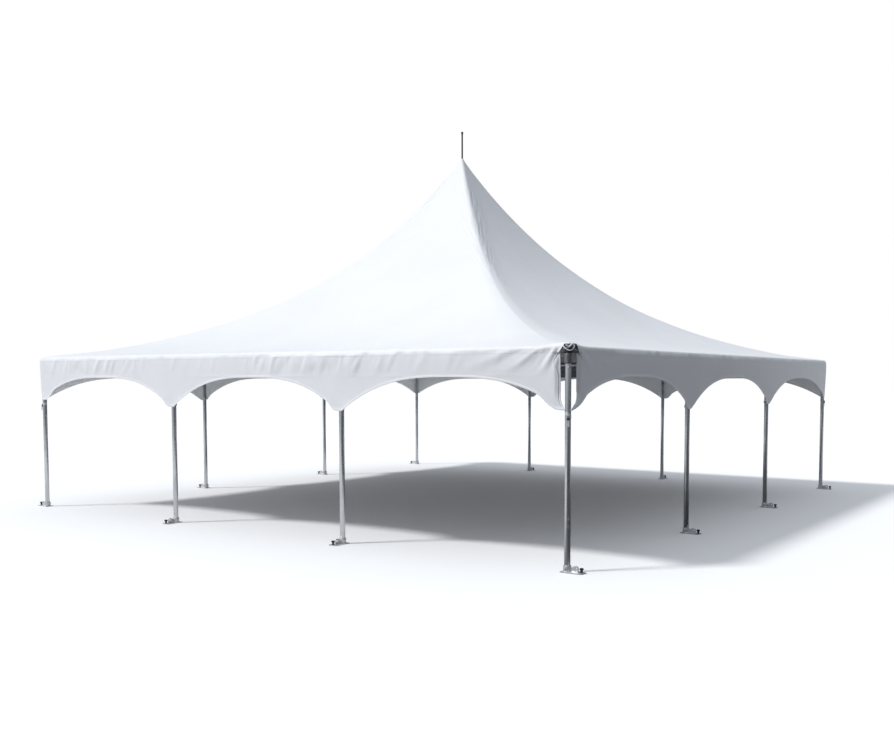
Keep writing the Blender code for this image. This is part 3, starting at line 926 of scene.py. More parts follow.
def settle(name, bm, finishes, nodes, crease):
    """Makes an object in place, smooth apart from its creases, and fixes it to the frame."""
    mesh = mesh_of(name, bm, finishes)
    if mesh.uv_layers:
        mesh.uv_layers[0].name = "metres"
    mesh.polygons.foreach_set("use_smooth", [True] * len(mesh.polygons))
    mesh.set_sharp_from_angle(angle=crease)
    item = linked(name, mesh)
    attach(item, "root")
    if nodes:
        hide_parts(*nodes)
    return item


def hip_height(share):
    """Height of the roof's bare sweep at a share of the way from its peak to its eave."""
    fade = exp(-ROOF_SWEEP)
    return EAVE_Z + (PEAK_Z - EAVE_Z) * (exp(-ROOF_SWEEP * share) - fade) / (1 - fade)


def roof_height(x, y):
    """Height of the roof's outer face: a concave sweep whose panels blend softly at the hips."""
    far, near = max(abs(x), abs(y)) / HALF, min(abs(x), abs(y)) / HALF
    blend = (0.008 + cloth_settings().hip_softness * far ** 1.6) * (1 - smooth(0.88, 1.0, far)) + 1e-4
    lead = max(blend - (far - near), 0.0)
    share = min(far + lead * lead / (4 * blend), 1.0)
    sag = PANEL_SAG * 6.75 * far ** 2 * (1 - far) * (1 - (near / max(far, 1e-6)) ** 2)
    return hip_height(share) - sag


def roof_ripple(x, y):
    """Slow waves of the taut roof, which die out at the peak and at the eave."""
    far = max(abs(x), abs(y)) / HALF
    waves = waver(x * 0.8, y * 0.8, 3.1) * 0.010 + waver(x * 2.3, y * 2.3, 8.4) * 0.003
    return waves * smooth(0.03, 0.25, far) * (1 - smooth(0.93, 1.0, far))


def corner_lift(x, y):
    """How far the roof stands up over the fitting of its open corner, at a place on the plan."""
    right, front, _ = CORNERS[OPEN_CORNER]
    return CORNER_LIFT * (1 - smooth(0.04, 0.34, hypot(HALF * right - x, HALF * front - y)))


def pucker(along, height, side):
    """How far the cloth at the eave stands out from flat: strokes that fan out from the corners."""
    below = EAVE_Z - height
    from_corner = HALF - abs(along)
    fan = atan2(from_corner + 0.04, below + 0.22)
    seed = 5.3 * side + (2.7 if along > 0 else 0.0)
    corner = waver(fan * 9.0, below * 1.5, seed) * (1 - smooth(0.5, 1.5, from_corner))
    corner *= PUCKER_SHARES.get((side, way_of(along)), 0.6)
    plain = max(waver(along * 5.2 + below * 2.4, below * 2.0, 11.7 + side) - 0.04, 0.0)
    plain *= smooth(0.3, 1.2, from_corner)
    patch = 0.25 + 0.75 * smooth(-0.25, 0.35, waver(along * 0.45, side * 7.0, 0.0))
    fine = max(waver(along * 9.0 + below * 3.6, below * 2.4, 4.0 + side) - 0.06, 0.0)
    fine *= smooth(0.05, 0.3, from_corner)
    depth = smooth(0.015, 0.075, below) * (1 - smooth(0.14, 0.34, below)) * smooth(0.0, 0.10, from_corner)
    return cloth_settings().pucker_depth * depth * (corner * 1.6 + (plain * 2.2 + fine * 1.9) * patch)


def way_of(along):
    """1 on the right half of a side and -1 on its left half."""
    return 1 if along > 0 else -1


def slit_at(along, side):
    """How far from its leg the cloth ends at the nearer end of a side, and 0 where that end is closed."""
    cloth = cloth_settings()
    return {(0, 1): cloth.front_slit, (1, -1): cloth.right_slit}.get((side, way_of(along)), 0.0)


def bend(along, height, side):
    """How much further out than the fold round its tube the cloth hangs, as it bends down more widely."""
    below = EAVE_Z - height
    leave = FOLD_R * (1 - cos(LEAVE_TURN))
    if below <= leave:
        return 0.0
    level = leave + WIDE_BEND_R * cos(LEAVE_TURN)
    middle = (FOLD_R - WIDE_BEND_R) * sin(LEAVE_TURN)
    wide = middle + sqrt(WIDE_BEND_R ** 2 - max(level - below, 0.0) ** 2)
    tight = sqrt(FOLD_R ** 2 - max(FOLD_R - below, 0.0) ** 2)
    slit = slit_at(along, side)
    near = smooth(slit, slit + 1.3, HALF - abs(along)) if slit else 1.0
    return (wide - tight) * (1 - smooth(0.10, 0.62, below)) * near


def fold_slack(along, height, side):
    """How far the fold stands off its tube where the cloth is slack, so that the eave line wanders."""
    below = EAVE_Z - height
    wander = waver(along * 1.7, side * 5.0, 30.0) * 0.7 + waver(along * 8.0, side * 5.0, 34.0) * 0.8
    strength = smooth(0.0, 0.014, below) * (1 - smooth(0.030, 0.068, below))
    slit = slit_at(along, side)
    strength *= smooth(slit + 0.02, slit + 0.20, HALF - abs(along))
    return 0.018 * max(wander, 0.0) * strength


def round_corner(along, out):
    """Place on the front side at a distance along it and out from the tube, round a closed corner."""
    turn = max(abs(along) - HALF, 0.0) / FOLD_R
    x = min(abs(along), HALF) + out * sin(turn)
    return way_of(along) * x, -HALF - out * cos(turn)


def crowded(share):
    """Moves columns towards the two ends of a side, where the cloth has its finest shapes."""
    return way_of(share) * (1 - (1 - abs(share)) ** CORNER_CROWDING)


def turned_point(x, y, quarters):
    """A place on the plan, turned about the middle of the tent by quarter turns."""
    for _ in range(quarters):
        x, y = -y, x
    return x, y


def roof_place(share, row, side):
    """Point of the front roof panel and how far down it is, from the peak round the rail to its hem."""
    last = ROOF_ROWS_COARSE + ROOF_ROWS_FINE
    if row <= last:
        reach = PEAK_HOLE + (HALF - PEAK_HOLE) * (row / last) ** RING_POWER
        x = share * reach
        plan = turned_point(x, -reach, side)
        height = roof_height(x, reach) + roof_ripple(*plan) + corner_lift(*plan)
        return Vector((x, -reach, height)), reach * 1.1
    along = share * HALF
    slit = slit_at(share, side)
    from_corner = HALF - abs(along)
    flap = 1 - smooth(slit - 0.022, slit + 0.005, from_corner) if slit else 0.0
    step = (row - last) / FOLD_ROWS
    if step <= 1:
        turn = radians(8 + 82 * step)
        out, z = FOLD_R * sin(turn), RAIL_Z + FOLD_R * cos(turn)
    else:
        fall = (step - 1) * FOLD_ROWS / HEM_ROWS
        out, z = FOLD_R, RAIL_Z - (RAIL_Z - HEM_Z + 0.001) * fall
    down = (row - last) / (FOLD_ROWS + HEM_ROWS)
    flap_out = FLAP_REACH * down * (1 - 0.20 * smooth(0.10, 0.0, from_corner))
    flap_z = EAVE_Z - 0.0015 * down - 0.010 * smooth(0.55, 1.0, down)
    slack = fold_slack(along, z, side)
    out = (out + bend(along, z, side) + slack) * (1 - flap) + flap_out * flap
    z = (z + slack * 0.5) * (1 - flap) + flap_z * flap
    far_down = HALF * 1.1 + down * 0.1
    if slit:
        x = share * (HALF + flap_out * flap)
        lift = corner_lift(*turned_point(x, -HALF, side)) * (flap + (1 - flap) * (1 - down))
        out += pucker(x, z, side) * (1 - flap)
        return Vector((x, -HALF - out, z + lift)), far_down
    rest = 0.008
    wrap = max(abs(share) - (1 - rest), 0.0) / rest * pi / 4 * FOLD_R
    along = way_of(share) * (min(abs(share) / (1 - rest), 1.0) * HALF + wrap)
    return Vector((*round_corner(along, out + pucker(along, z, side)), z)), far_down


def roof_point(x, y, side):
    """Point and UV of the front roof panel at a place in its grid."""
    share = crowded(min(max(x, -1.0), 1.0))
    place, down = roof_place(share, round((y + 1) / 2 * ROOF_ROWS), side)
    return place, (place.x + side * 10.0, down)


def drape(bm, place_of, *facts):
    """Moves the vertices of a grid from -1 to 1 to where place_of says, and gives them its UV."""
    layer = bm.loops.layers.uv.verify()
    for vert in bm.verts:
        vert.co, uv = place_of(vert.co.x, vert.co.y, *facts)
        for loop in vert.link_loops:
            loop[layer].uv = uv


def face_out(bm):
    """Turns an open sheet so that its faces look up or away from the middle of the tent."""
    bmesh.ops.recalc_face_normals(bm, faces=bm.faces)
    bm.normal_update()
    inside = Vector((0, 0, 1.0))
    score = sum(face.normal.dot(face.calc_center_median() - inside) * face.calc_area() for face in bm.faces)
    if score < 0:
        bmesh.ops.reverse_faces(bm, faces=bm.faces)


def add_sheet(name, bm, outer, nodes):
    """Makes a sheet of cloth, thick inwards, with a crisp rim and, on its inner face, the lining with its
    painted shade.
    """
    face_out(bm)
    item = settle(name, bm, (outer, LINING), nodes, radians(60))
    bm = bmesh.new()
    bm.from_mesh(item.data)
    for edge in bm.edges:
        if edge.is_boundary:
            edge.smooth = False
    bm.to_mesh(item.data)
    bm.free()
    wall = item.modifiers.new("cloth", "SOLIDIFY")
    wall.thickness = cloth_settings().thickness
    wall.offset = -1.0
    wall.material_offset = 1
    wall.use_quality_normals = True
    return item


def add_roof():
    """The concave roof of four panels, folded over the eave tubes, with a slit at its open corner."""
    bm = bmesh.new()
    bm.loops.layers.uv.verify()
    for side in SIDES.values():
        panel = bmesh.new()
        bmesh.ops.create_grid(panel, x_segments=ROOF_COLUMNS, y_segments=ROOF_ROWS, size=1.0)
        fine = [
            edge for edge in panel.edges
            if abs(edge.verts[0].co.y - edge.verts[1].co.y) < 1e-6
            and round((edge.verts[0].co.y + 1) / 2 * ROOF_ROWS) >= ROOF_ROWS_COARSE]
        bmesh.ops.subdivide_edges(panel, edges=fine, cuts=3, use_grid_fill=True)
        drape(panel, roof_point, side)
        bmesh.ops.rotate(panel, verts=panel.verts, matrix=Matrix.Rotation(side * pi / 2, 3, "Z"))
        mesh = mesh_of("panel", panel)
        bm.from_mesh(mesh)
        bpy.data.meshes.remove(mesh)
    bmesh.ops.remove_doubles(bm, verts=bm.verts, dist=1e-5)
    item = add_sheet("roof_cloth", bm, "coated_cloth_roof", ["canopy_roof"])


def arch_height(along, side):
    """Height of the valance's lower edge at a distance along its side from the middle."""
    bay = min(max(int(floor((along + HALF) / BAY)), 0), BAYS - 1)
    middle = -HALF + (bay + 0.5) * BAY
    leg = bay if along < middle else bay + 1
    share = min(abs(along - middle) / (BAY / 2 - TIP_HALF), 1.0)
    if leg in (0, BAYS):
        tip = TIP_Z + CORNER_TIP_RISE
        footed = (side, -1 if leg == 0 else 1) in FOOTED_ENDS
        start, end = 0.80, 0.98
    else:
        tip = TIP_Z
        footed = along > middle
        start, end = 0.90, 1.0
    fall = share ** ARCH_POWER
    if footed:
        fall = share ** CORNER_ARCH_POWER
        fall += (1 - fall) * smooth(start, end, share)
    return ARCH_Z - (ARCH_Z - tip) * fall


def end_dip(z):
    """How far down the curl of an open end a height is, from 0 to 1 at the tip."""
    return min(max((CURL_Z - z) / (CURL_Z - TIP_Z - CORNER_TIP_RISE), 0.0), 1.0)


def end_curl(along, z, side):
    """How far an open end of a valance swings along its side, towards its leg."""
    slit = slit_at(along, side)
    if not slit:
        return 0.0
    way = way_of(along)
    near = 1 - smooth(slit, slit + 0.30, HALF - abs(along))
    return way * end_dip(z) ** 2.4 * near * (slit - TIP_REACHES[side, way])


def valance_place(share, row, side):
    """Point of the front valance and how far down it is, with rows that follow the arches and a hem."""
    slit = slit_at(share, side)
    end = HALF - slit if slit else HALF + FOLD_R * pi / 4
    along = share * end
    low = arch_height(along, side)
    low = arch_height(along + end_curl(along, low, side), side)
    hem = low + cloth_settings().hem_width
    plain = VALANCE_ROWS - 5
    if row <= plain:
        z, raised = VALANCE_TOP + (hem + 0.0015 - VALANCE_TOP) * row / plain, 0.0
    else:
        z, raised = (
            (hem, 0.0004), (hem - 0.0015, 0.0016), (low + 0.004, 0.0016), (low + 0.001, 0.0010), (low, 0.0))[
                row - plain - 1]
    from_end = end - abs(along)
    from_leg = min(abs(along - (-HALF + BAY * leg)) for leg in range(BAYS + 1))
    sway = waver(along * 0.9, side * 3.0, 1.0) * 0.010 * smooth(2.10, 1.70, z)
    sway *= smooth(0.03, 0.5, from_leg) * smooth(-0.05, 0.3, HALF - abs(along))
    tied = -0.007 * (1 - smooth(0.02, 0.16, from_leg)) * smooth(1.85, TIP_Z, z)
    crease = 0.0030 * exp(-((z - CREASE_Z - 0.006 * waver(along * 1.1, side, 9.0)) / 0.010) ** 2)
    crease *= smooth(-0.3, 0.3, waver(along * 0.8, side * 2.0, 5.0))
    rolled = 0.0
    if slit:
        rolled = -0.030 * (1 - smooth(0.0, 0.055, from_end)) ** 1.5 * (1 - end_dip(z))
        rolled -= (FOLD_R - TUBE_R - 0.006) * end_dip(z) ** 2 * (1 - smooth(0.0, 0.20, from_end))
        tied *= smooth(0.0, 0.3, from_end)
    under_hem = -0.0008 * (1 - smooth(0.012, 0.060, VALANCE_TOP - z))
    out = FOLD_R - 0.0005 + bend(along, z, side) + under_hem + pucker(along, z, side)
    out += sway + tied + crease + raised + rolled
    x, y = round_corner(along + end_curl(along, z, side), out)
    return Vector((x, y, z)), VALANCE_TOP - z


def valance_point(x, y, side):
    """Point and UV of the front valance at a place in its grid, with its outermost columns crowded."""
    size = abs(x)
    share = way_of(x) * (size + 0.06 * size ** 12 * (1 - size) * 6)
    place, down = valance_place(share, VALANCE_ROWS - round((y + 1) / 2 * VALANCE_ROWS), side)
    return place, (share * HALF + side * 10.0, down)


def add_valances():
    """A scalloped valance on each side: one band with a hem, cut and rolled in at the open corner."""
    for side_name, side in SIDES.items():
        bm = bmesh.new()
        bmesh.ops.create_grid(bm, x_segments=VALANCE_COLUMNS, y_segments=VALANCE_ROWS, size=1.0)
        drape(bm, valance_point, side)
        bmesh.ops.rotate(bm, verts=bm.verts, matrix=Matrix.Rotation(side * pi / 2, 3, "Z"))
        nodes = [f"valance_{side_name}_{bay}" for bay in range(1, BAYS + 1)]
        item = add_sheet(f"valance_cloth_{side_name}", bm, "coated_cloth_outer", nodes)
        ends = [add_end_piping(side_name, side)] if slit_at(1, side) or slit_at(-1, side) else []


def add_end_piping(side_name, side):
    """Two welded cords down an open end of a valance: one on its rolled edge, one bulging away from it."""
    piece = Piece(turn_by(side * pi / 2))
    for way in (-1, 1):
        slit = slit_at(way, side)
        if not slit:
            continue
        for inset, bulge, radius in ((0.0, 0.0, 0.0068), (0.022, 0.044, 0.0056)):
            points = []
            for row in range(VALANCE_ROWS + 1):
                edge, _ = valance_place(way, row, side)
                inward = inset + bulge * exp(-((edge.z - BULGE_Z) / 0.065) ** 2)
                place, _ = valance_place(way * (1 - inward / (HALF - slit)), row, side)
                points.append(place + Vector((0, -0.0010, 0)))
            piece.add(CORD, cord_mesh(points, radius))
    return piece.done(f"valance_piping_{side_name}", [])


def boot_point(x, y):
    """Point and UV of the boot at a place in its grid: gathered at the rod and square at its foot."""
    way, down = x * pi, (1 - y) / 2
    reach = BOOT_NECK_R + (BOOT_HIGH.x - BOOT_NECK_R) * down ** 1.25
    square = 1 / max(abs(cos(way)), abs(sin(way)))
    radius = reach * (1 + (square - 1) * smooth(0.10, 0.45, down))
    radius += (1 - down) ** 2 * 0.0022 * cos(way * 14) * smooth(0.0, 0.12, down)
    x, y = radius * cos(way), radius * sin(way)
    z = roof_height(x, y) + 0.0012 + 0.022 * (1 - down) ** 4 - 0.0045 * down ** 10
    return (x, y, z), (way * reach, down * 0.4)


def add_boot():
    """The small drawn cloth cone that closes the roof's hole round the rod."""
    bm = bmesh.new()
    bmesh.ops.create_grid(bm, x_segments=BOOT_COLUMNS, y_segments=BOOT_ROWS, size=1.0)
    drape(bm, boot_point)
    bmesh.ops.remove_doubles(bm, verts=bm.verts, dist=1e-5)
    item = add_sheet("boot_cloth", bm, "coated_cloth_outer", ["peak_boot"])


def leg_places():
    """Name, foot and outward direction of every leg."""
    for name, (x, y, _) in CORNERS.items():
        yield name, (x * HALF, y * HALF), Vector((x, y, 0)).normalized()
    for side_name, side in SIDES.items():
        out = Matrix.Rotation(side * pi / 2, 3, "Z") @ Vector((0, -1, 0))
        for number in range(1, BAYS):
            yield f"{side_name}_{number}", turned_point(-HALF + number * BAY, -HALF, side), out


def add_legs():
    """Twelve drawn tube legs, each with a rounded lip, two locking buttons and a bolt near its head."""
    button = turned(((0.0, 0.0), (0.0055, 0.0), (0.0055, 0.0025), (0.0035, 0.005), (0.0, 0.006)), 20)
    for name, foot, out in leg_places():
        piece = Piece(shift(*foot))
        piece.add(TUBE, pipe(TUBE_R, TUBE_R - TUBE_WALL, LEG_LOW.z, LEG_HIGH.z, TUBE_EDGE))
        piece.bolt((0, 0, RAIL_Z - SOCKET_DROP - 0.040), out, 2 * TUBE_R + BOLT_SLACK)
        for height in BUTTON_HEIGHTS:
            piece.add(PLATED, button, stand(out * (TUBE_R - 0.001) + Vector((0, 0, height)), out))
        piece.done(f"leg_tube_{name}", [f"leg_{name}"])


def add_feet():
    """Twelve galvanised anchor plates, welded up from a plate, a collar and an ear, each with its stake."""
    nose, heel, ear_back, sunk = 0.030, 0.014, 0.039, PLATE_T - 0.001
    outline = (
        arc((PLATE_FRONT - nose, PLATE_HALF - nose), nose, 90, 0, 6)
        + arc((PLATE_FRONT - nose, nose - PLATE_HALF), nose, 0, -90, 6)
        + arc((heel - PLATE_BACK, heel - PLATE_HALF), heel, -90, -180, 4)
        + arc((heel - PLATE_BACK, PLATE_HALF - heel), heel, 180, 90, 4))
    ear_outline = (
        (ear_back, sunk), (EAR_REACH + EAR_R, sunk), *arc((EAR_REACH, EAR_HEIGHT), EAR_R, -20, 100, 12),
        (ear_back, EAR_HEIGHT + 0.006))
    plate = drilled_plate(outline, (STAKE_REACH, 0.0), STAKE_HOLE_R, PLATE_T, PIPE_EDGE)
    ear = drilled_plate(ear_outline, (EAR_REACH, EAR_HEIGHT), EAR_HOLE_R, EAR_T, PIPE_EDGE)
    seam = bar(0.0036, EAR_REACH + EAR_R - COLLAR_R - 0.006, 0.0015, 12)
    top = frame_settings().stake_height
    stake = turned((
        (0.0, 0.0006), (0.0125, 0.0006), (0.0125, top - 0.022), (0.0205, top - 0.020), (0.0215, top - 0.016),
        (0.0210, top - 0.006), (0.0170, top - 0.001), (0.0, top)), 28, 0.0006)
    for name, foot, out in leg_places():
        facing = (0.0 if foot[0] > 0 else pi) if name in CORNERS else atan2(out.y, out.x)
        piece = Piece(shift(*foot) @ turn_by(facing))
        piece.add(ZINC, plate)
        piece.add(ZINC, pipe(COLLAR_R, TUBE_R + GAP, sunk, PLATE_T + COLLAR_HEIGHT))
        piece.add(ZINC, ear, upright(EAR_T / 2))
        piece.add(ZINC, ring(COLLAR_R, 0.0042), shift(0, 0, PLATE_T + 0.001))
        for way in (-1, 1):
            piece.add(ZINC, seam, stand((COLLAR_R, way * EAR_T / 2, PLATE_T), ALONG))
        piece.bolt((0, 0, PLATE_T + COLLAR_HEIGHT * 0.55), ACROSS, 2 * COLLAR_R + BOLT_SLACK)
        piece.add(STEEL, stake, shift(STAKE_REACH))
        piece.done(f"anchor_plate_{name}", [f"foot_{name}"])


def add_rails():
    """Four eave tubes, each with a welded tee over its two middle legs."""
    end = HALF - RAIL_END
    under = Vector((0, 0.5, -1)).normalized()
    tee = pipe(SLEEVE_R, TUBE_R - 0.0005, -SLEEVE_HALF, SLEEVE_HALF)
    socket = pipe(SLEEVE_R, TUBE_R + GAP, -SOCKET_DROP, -0.030)
    for side_name, side in SIDES.items():
        piece = Piece(turn_by(side * pi / 2) @ shift(0, -HALF, RAIL_Z))
        piece.add(TUBE, pipe(TUBE_R, TUBE_R - TUBE_WALL, -end, end, TUBE_EDGE), stand((0, 0, 0), ALONG))
        for number in range(1, BAYS):
            x = -HALF + number * BAY
            piece.add(CASTING, tee, stand((x, 0, 0), ALONG))
            piece.add(CASTING, socket, shift(x))
            piece.weld((x, 0, 0.004 - SLEEVE_R), UP, SLEEVE_R - 0.001)
            for offset in (-0.085, 0.085):
                piece.screw(Vector((x + offset, 0, 0)) + under * SLEEVE_R, under)
            piece.bolt((x, 0, 0.028 - SOCKET_DROP), ALONG, 2 * SLEEVE_R + BOLT_SLACK)
        piece.done(f"eave_tubes_{side_name}", [f"rail_{side_name}"])


def cable_lug(reach):
    """A drilled lug along +X."""
    outline = ((0.030, -LUG_R), (reach, -LUG_R), *arc((reach, 0.0), LUG_R, -90, 90, 12), (0.030, LUG_R))
    return drilled_plate(outline, (reach, 0.0), PIN_R + GAP, LUG_T)


def add_corners():
    """Four corner fittings: a domed hub, sleeves for two eave tubes and a leg, and a cable lug."""
    wall = TUBE_R + GAP
    hub_top = CORNER_HIGH.z - RAIL_Z
    turns = [pi * step / 20 for step in range(11)]
    dome = [(round(HUB_R * cos(turn), 6), round(hub_top * sin(turn), 6)) for turn in turns]
    inward = Vector((-1, -1, 0)).normalized()
    for name, (x, y, quarter) in CORNERS.items():
        piece = Piece(shift(x * HALF, y * HALF, RAIL_Z) @ turn_by(quarter * pi / 2))
        # The domed hub takes the dark steel finish as painted shade, for the dark shaded corner under the
        # roof.
        piece.add(STEEL, turned(((HUB_R - 0.004, -0.036), (HUB_R, -0.032), *dome)))
        piece.add(CASTING, pipe(HUB_R, wall, -SOCKET_DROP, -0.038, 0.0015))
        for way in (Vector((-1, 0, 0)), Vector((0, -1, 0))):
            piece.add(CASTING, pipe(SLEEVE_R, wall, 0.020, ARM_LENGTH), stand((0, 0, 0), way))
            under = Vector((way.y * 0.5, way.x * 0.5, -1)).normalized()
            for reach in (0.075, 0.145):
                piece.screw(way * reach + under * SLEEVE_R, under)
            piece.weld(way * (HUB_R - 0.001), way, SLEEVE_R)
        piece.add(CASTING, cable_lug(LUG_REACH), turn_by(radians(225)) @ upright(LUG_T / 2, -LUG_DROP))
        piece.screw(inward * HUB_R + Vector((0, 0, -0.110)), inward)
        if name == OPEN_CORNER:
            add_corner_lashing(piece)
        piece.done(f"corner_fitting_{name}", [f"corner_{name}"])


def add_corner_lashing(piece):
    """The white cord that holds the roof's open corner to its fitting: a loose loop and a zigzag above it."""
    loop = []
    for step in range(25):
        turn = radians(-80 + 160 * step / 24)
        loop.append(Vector((0.058 * cos(turn), 0.058 * sin(turn), 0.040 - 0.052 * cos(turn) ** 1.5)))
    zigzag = [Vector((0.051, across, height)) for across, height in (
        (-0.040, 0.044), (-0.028, 0.036), (-0.016, 0.026), (-0.010, 0.022), (-0.002, 0.026), (0.012, 0.040),
        (0.026, 0.054), (0.032, 0.057), (0.038, 0.052), (0.046, 0.036))]
    for shape in (cord_mesh(loop, 0.0045, 10), cord_mesh(zigzag, 0.0080, 12)):
        piece.add(CORD, shape, turn_by(radians(45)))


def add_mast():
    """The cup that the cables hold, the mast tube in it, and the cone with its rod and knob."""
    height = CUP_HIGH.z - CUP_LOW.z
    bore = MAST_R + GAP
    cup = Piece(shift(0, 0, CUP_LOW.z))
    cup.add(CASTING, turned((
        (0.0, 0.0), (MAST_CUP_R, 0.0), (MAST_CUP_R, height), (bore, height), (bore, MAST_CUP_FLOOR),
        (0.0, MAST_CUP_FLOOR)), ROUND, 0.0015))
    for quarter in range(4):
        turn = turn_by(radians(45 + 90 * quarter))
        cup.add(CASTING, cable_lug(MAST_PIN_REACH), turn @ upright(LUG_T / 2, height / 2))
    for z in (0.004, height - 0.004):
        cup.add(CASTING, ring(MAST_CUP_R, 0.0035), shift(0, 0, z))
    cup.bolt((0, 0, height - 0.022), ALONG, 2 * MAST_CUP_R + BOLT_SLACK)
    cup.done("mast_cup", ["mast_foot"])

    mast = Piece()
    mast.add(TUBE, pipe(MAST_R, MAST_R - MAST_WALL, MAST_LOW.z, MAST_HIGH.z, TUBE_EDGE))
    mast.bolt((0, 0, MAST_HIGH.z - 0.05), ACROSS, 2 * MAST_R + BOLT_SLACK)
    mast.done("mast_tube", ["mast"])

    head = Piece()
    rim, top, seat = HEAD_HIGH.x, HEAD_HIGH.z, MAST_HIGH.z
    cone = []
    for step in range(15):
        reach = rim + (PEAK_HOLE - rim) * step / 14
        under = 0.010 * (1.6 + 1.2 * (1 - reach / rim))
        cone.append((round(reach, 6), round(roof_height(reach, 0.0) - under, 6)))
    neck = cone[-1][1]
    knob = [
        (round(KNOB_R * sin(pi * step / 12), 6), round(top - KNOB_R + KNOB_R * cos(pi * step / 12), 6))
        for step in range(11, -1, -1)]
    spigot = MAST_R - MAST_WALL - 0.0006
    collar = top - 2 * KNOB_R
    head.add(STEEL, turned((
        (0.0, seat - SPIGOT_DEPTH), (spigot, seat - SPIGOT_DEPTH), (spigot, seat),
        (MAST_R + 0.006, seat + 0.0006), (rim, cone[0][1] - 0.010), *cone, (ROD_R + 0.006, neck + 0.012),
        (ROD_R + 0.006, neck + 0.030), (ROD_R, neck + 0.032), (ROD_R, collar - 0.004),
        (ROD_R + 0.004, collar - 0.002), (ROD_R + 0.004, collar + 0.002), *knob), 48))
    head.done("mast_head_rod", ["mast_head"])


def add_cables():
    """Four wire ropes that hold the mast, each with forked ends, pins and a tightening screw."""
    reach = HALF - LUG_REACH / sqrt(2)
    inner = MAST_PIN_REACH / sqrt(2)
    screw = bar(0.0065, 0.060, 0.0006, 24)
    stay = bar(0.0042, 0.112, 0.0015, 16)
    nut = turned(((0.0065, 0.0), (0.0150, 0.0), (0.0150, 0.014), (0.0065, 0.014), (0.0065, 0.0)), 8, 0.001)
    for name, (x, y, _) in CORNERS.items():
        start = Vector((x * reach, y * reach, RAIL_Z - LUG_DROP))
        run = Vector((x * inner, y * inner, CUP_Z)) - start
        length, aim = run.length, run.normalized()
        side = aim.cross(Vector(UP)).normalized()
        home = Matrix((aim, side, aim.cross(side))).transposed().to_4x4()
        home.translation = start
        piece = Piece(home)
        add_fork(piece)
        add_fork(piece, shift(length) @ turn_by(pi))
        for finish_name, shape, x_at, z_at in (
                (PLATED, screw, 0.034, 0.0), (PLATED, screw, 0.152, 0.0),
                (ZINC, stay, 0.066, -0.0105), (ZINC, stay, 0.066, 0.0105),
                (ZINC, nut, 0.060, 0.0), (ZINC, nut, 0.172, 0.0),
                (ZINC, bar(0.0085, 0.055, 0.002, 24), 0.205, 0.0),
                (ZINC, bar(0.0085, 0.050, 0.002, 24), length - 0.083, 0.0),
                ("wire_rope", bar(CABLE_R, length - 0.32, 0.0, 16), 0.245, 0.0)):
            piece.add(finish_name, shape, stand((x_at, 0, z_at), ALONG))
        piece.done(f"mast_cable_{name}", [f"cable_{name}"])


def add_fork(piece, end=Matrix.Identity(4)):
    """A forked end: two drilled cheeks, the block that joins them, and the pin with its clip."""
    cheek = LUG_T / 2 + GAP
    outline = ((0.033, -FORK_HALF), (0.033, FORK_HALF), *arc((0.0, 0.0), FORK_HALF, 90, 270, 10))
    for front in (cheek + CHEEK_T, -cheek):
        piece.add(ZINC, drilled_plate(outline, (0.0, 0.0), PIN_R, CHEEK_T), end @ upright(front))
    joint = block(0.016, 2 * (cheek + CHEEK_T), 2 * FORK_HALF, 0.002)
    piece.add(ZINC, joint, end @ shift(0.028, 0, -FORK_HALF))
    for shape, y, aim in (
            (bar(PIN_R, 2 * cheek + 0.022, 0.001, 24), -cheek - 0.010, ACROSS),
            (bar(0.0095, 0.003, 0.0008, 24), -cheek - 0.0085, ACROSS),
            (ring(0.0075, 0.0010, 20), cheek + 0.0085, (0.3, 1, 0))):
        piece.add(PLATED, shape, end @ stand((0, y, 0), aim))


def add_ties():
    """The webbing that ties the valance to each leg, with its buckle, and the ties under the roof."""
    width = frame_settings().strap_width
    for name, foot, out in leg_places():
        piece = Piece(shift(*foot) @ turn_by(atan2(out.y, out.x)))
        if name in CORNERS:
            height, slant, share = TIP_Z + CORNER_TIP_RISE - 0.044, 0.65, 1.3
        else:
            height, slant, share = TIP_Z + 0.030, 0.0, 1.0
        piece.add(WEBBING, strap_round(
            (0, 0, height), ALONG, (0, 1, -slant), TUBE_R + 0.0016, 40, UP, width * share))
        if name in CORNERS:
            add_ratchet(piece, turn_by(radians(-12)) @ shift(TUBE_R + 0.0030, 0, height - 0.062), width)
        else:
            back = turn_by(pi) @ shift(TUBE_R + 0.0025, 0, height - 0.015)
            piece.add(PLATED, block(0.007, 0.032, 0.030, 0.0018), back)
            piece.add(STEEL, bar(0.0028, 0.034, 0.001, 16), back @ stand((0.006, -0.017, 0.015), ACROSS))
        piece.done(f"leg_tie_{name}", [])
    add_rail_ties(width)
    add_hip_straps()


def add_ratchet(piece, seat, width):
    """The tightening buckle of a corner tie: a dark body with two bright pins, and the strap's loose tail."""
    piece.add(STEEL, block(0.014, 0.030, 0.044, 0.002), seat)
    piece.add(PLATED, bar(0.0038, 0.036, 0.001, 16), seat @ stand((0.010, -0.018, 0.031), ACROSS))
    piece.add(PLATED, bar(0.0030, 0.034, 0.001, 16), seat @ stand((0.011, -0.017, 0.006), ACROSS))
    top = seat @ Vector((0.0105, 0, 0.004))
    tail = [top + Vector((0.0006 * step, 0, -0.012 * step)) for step in range(6)]
    piece.add(WEBBING, ribbon(tail, seat.to_3x3() @ Vector(ACROSS), width * 0.9))


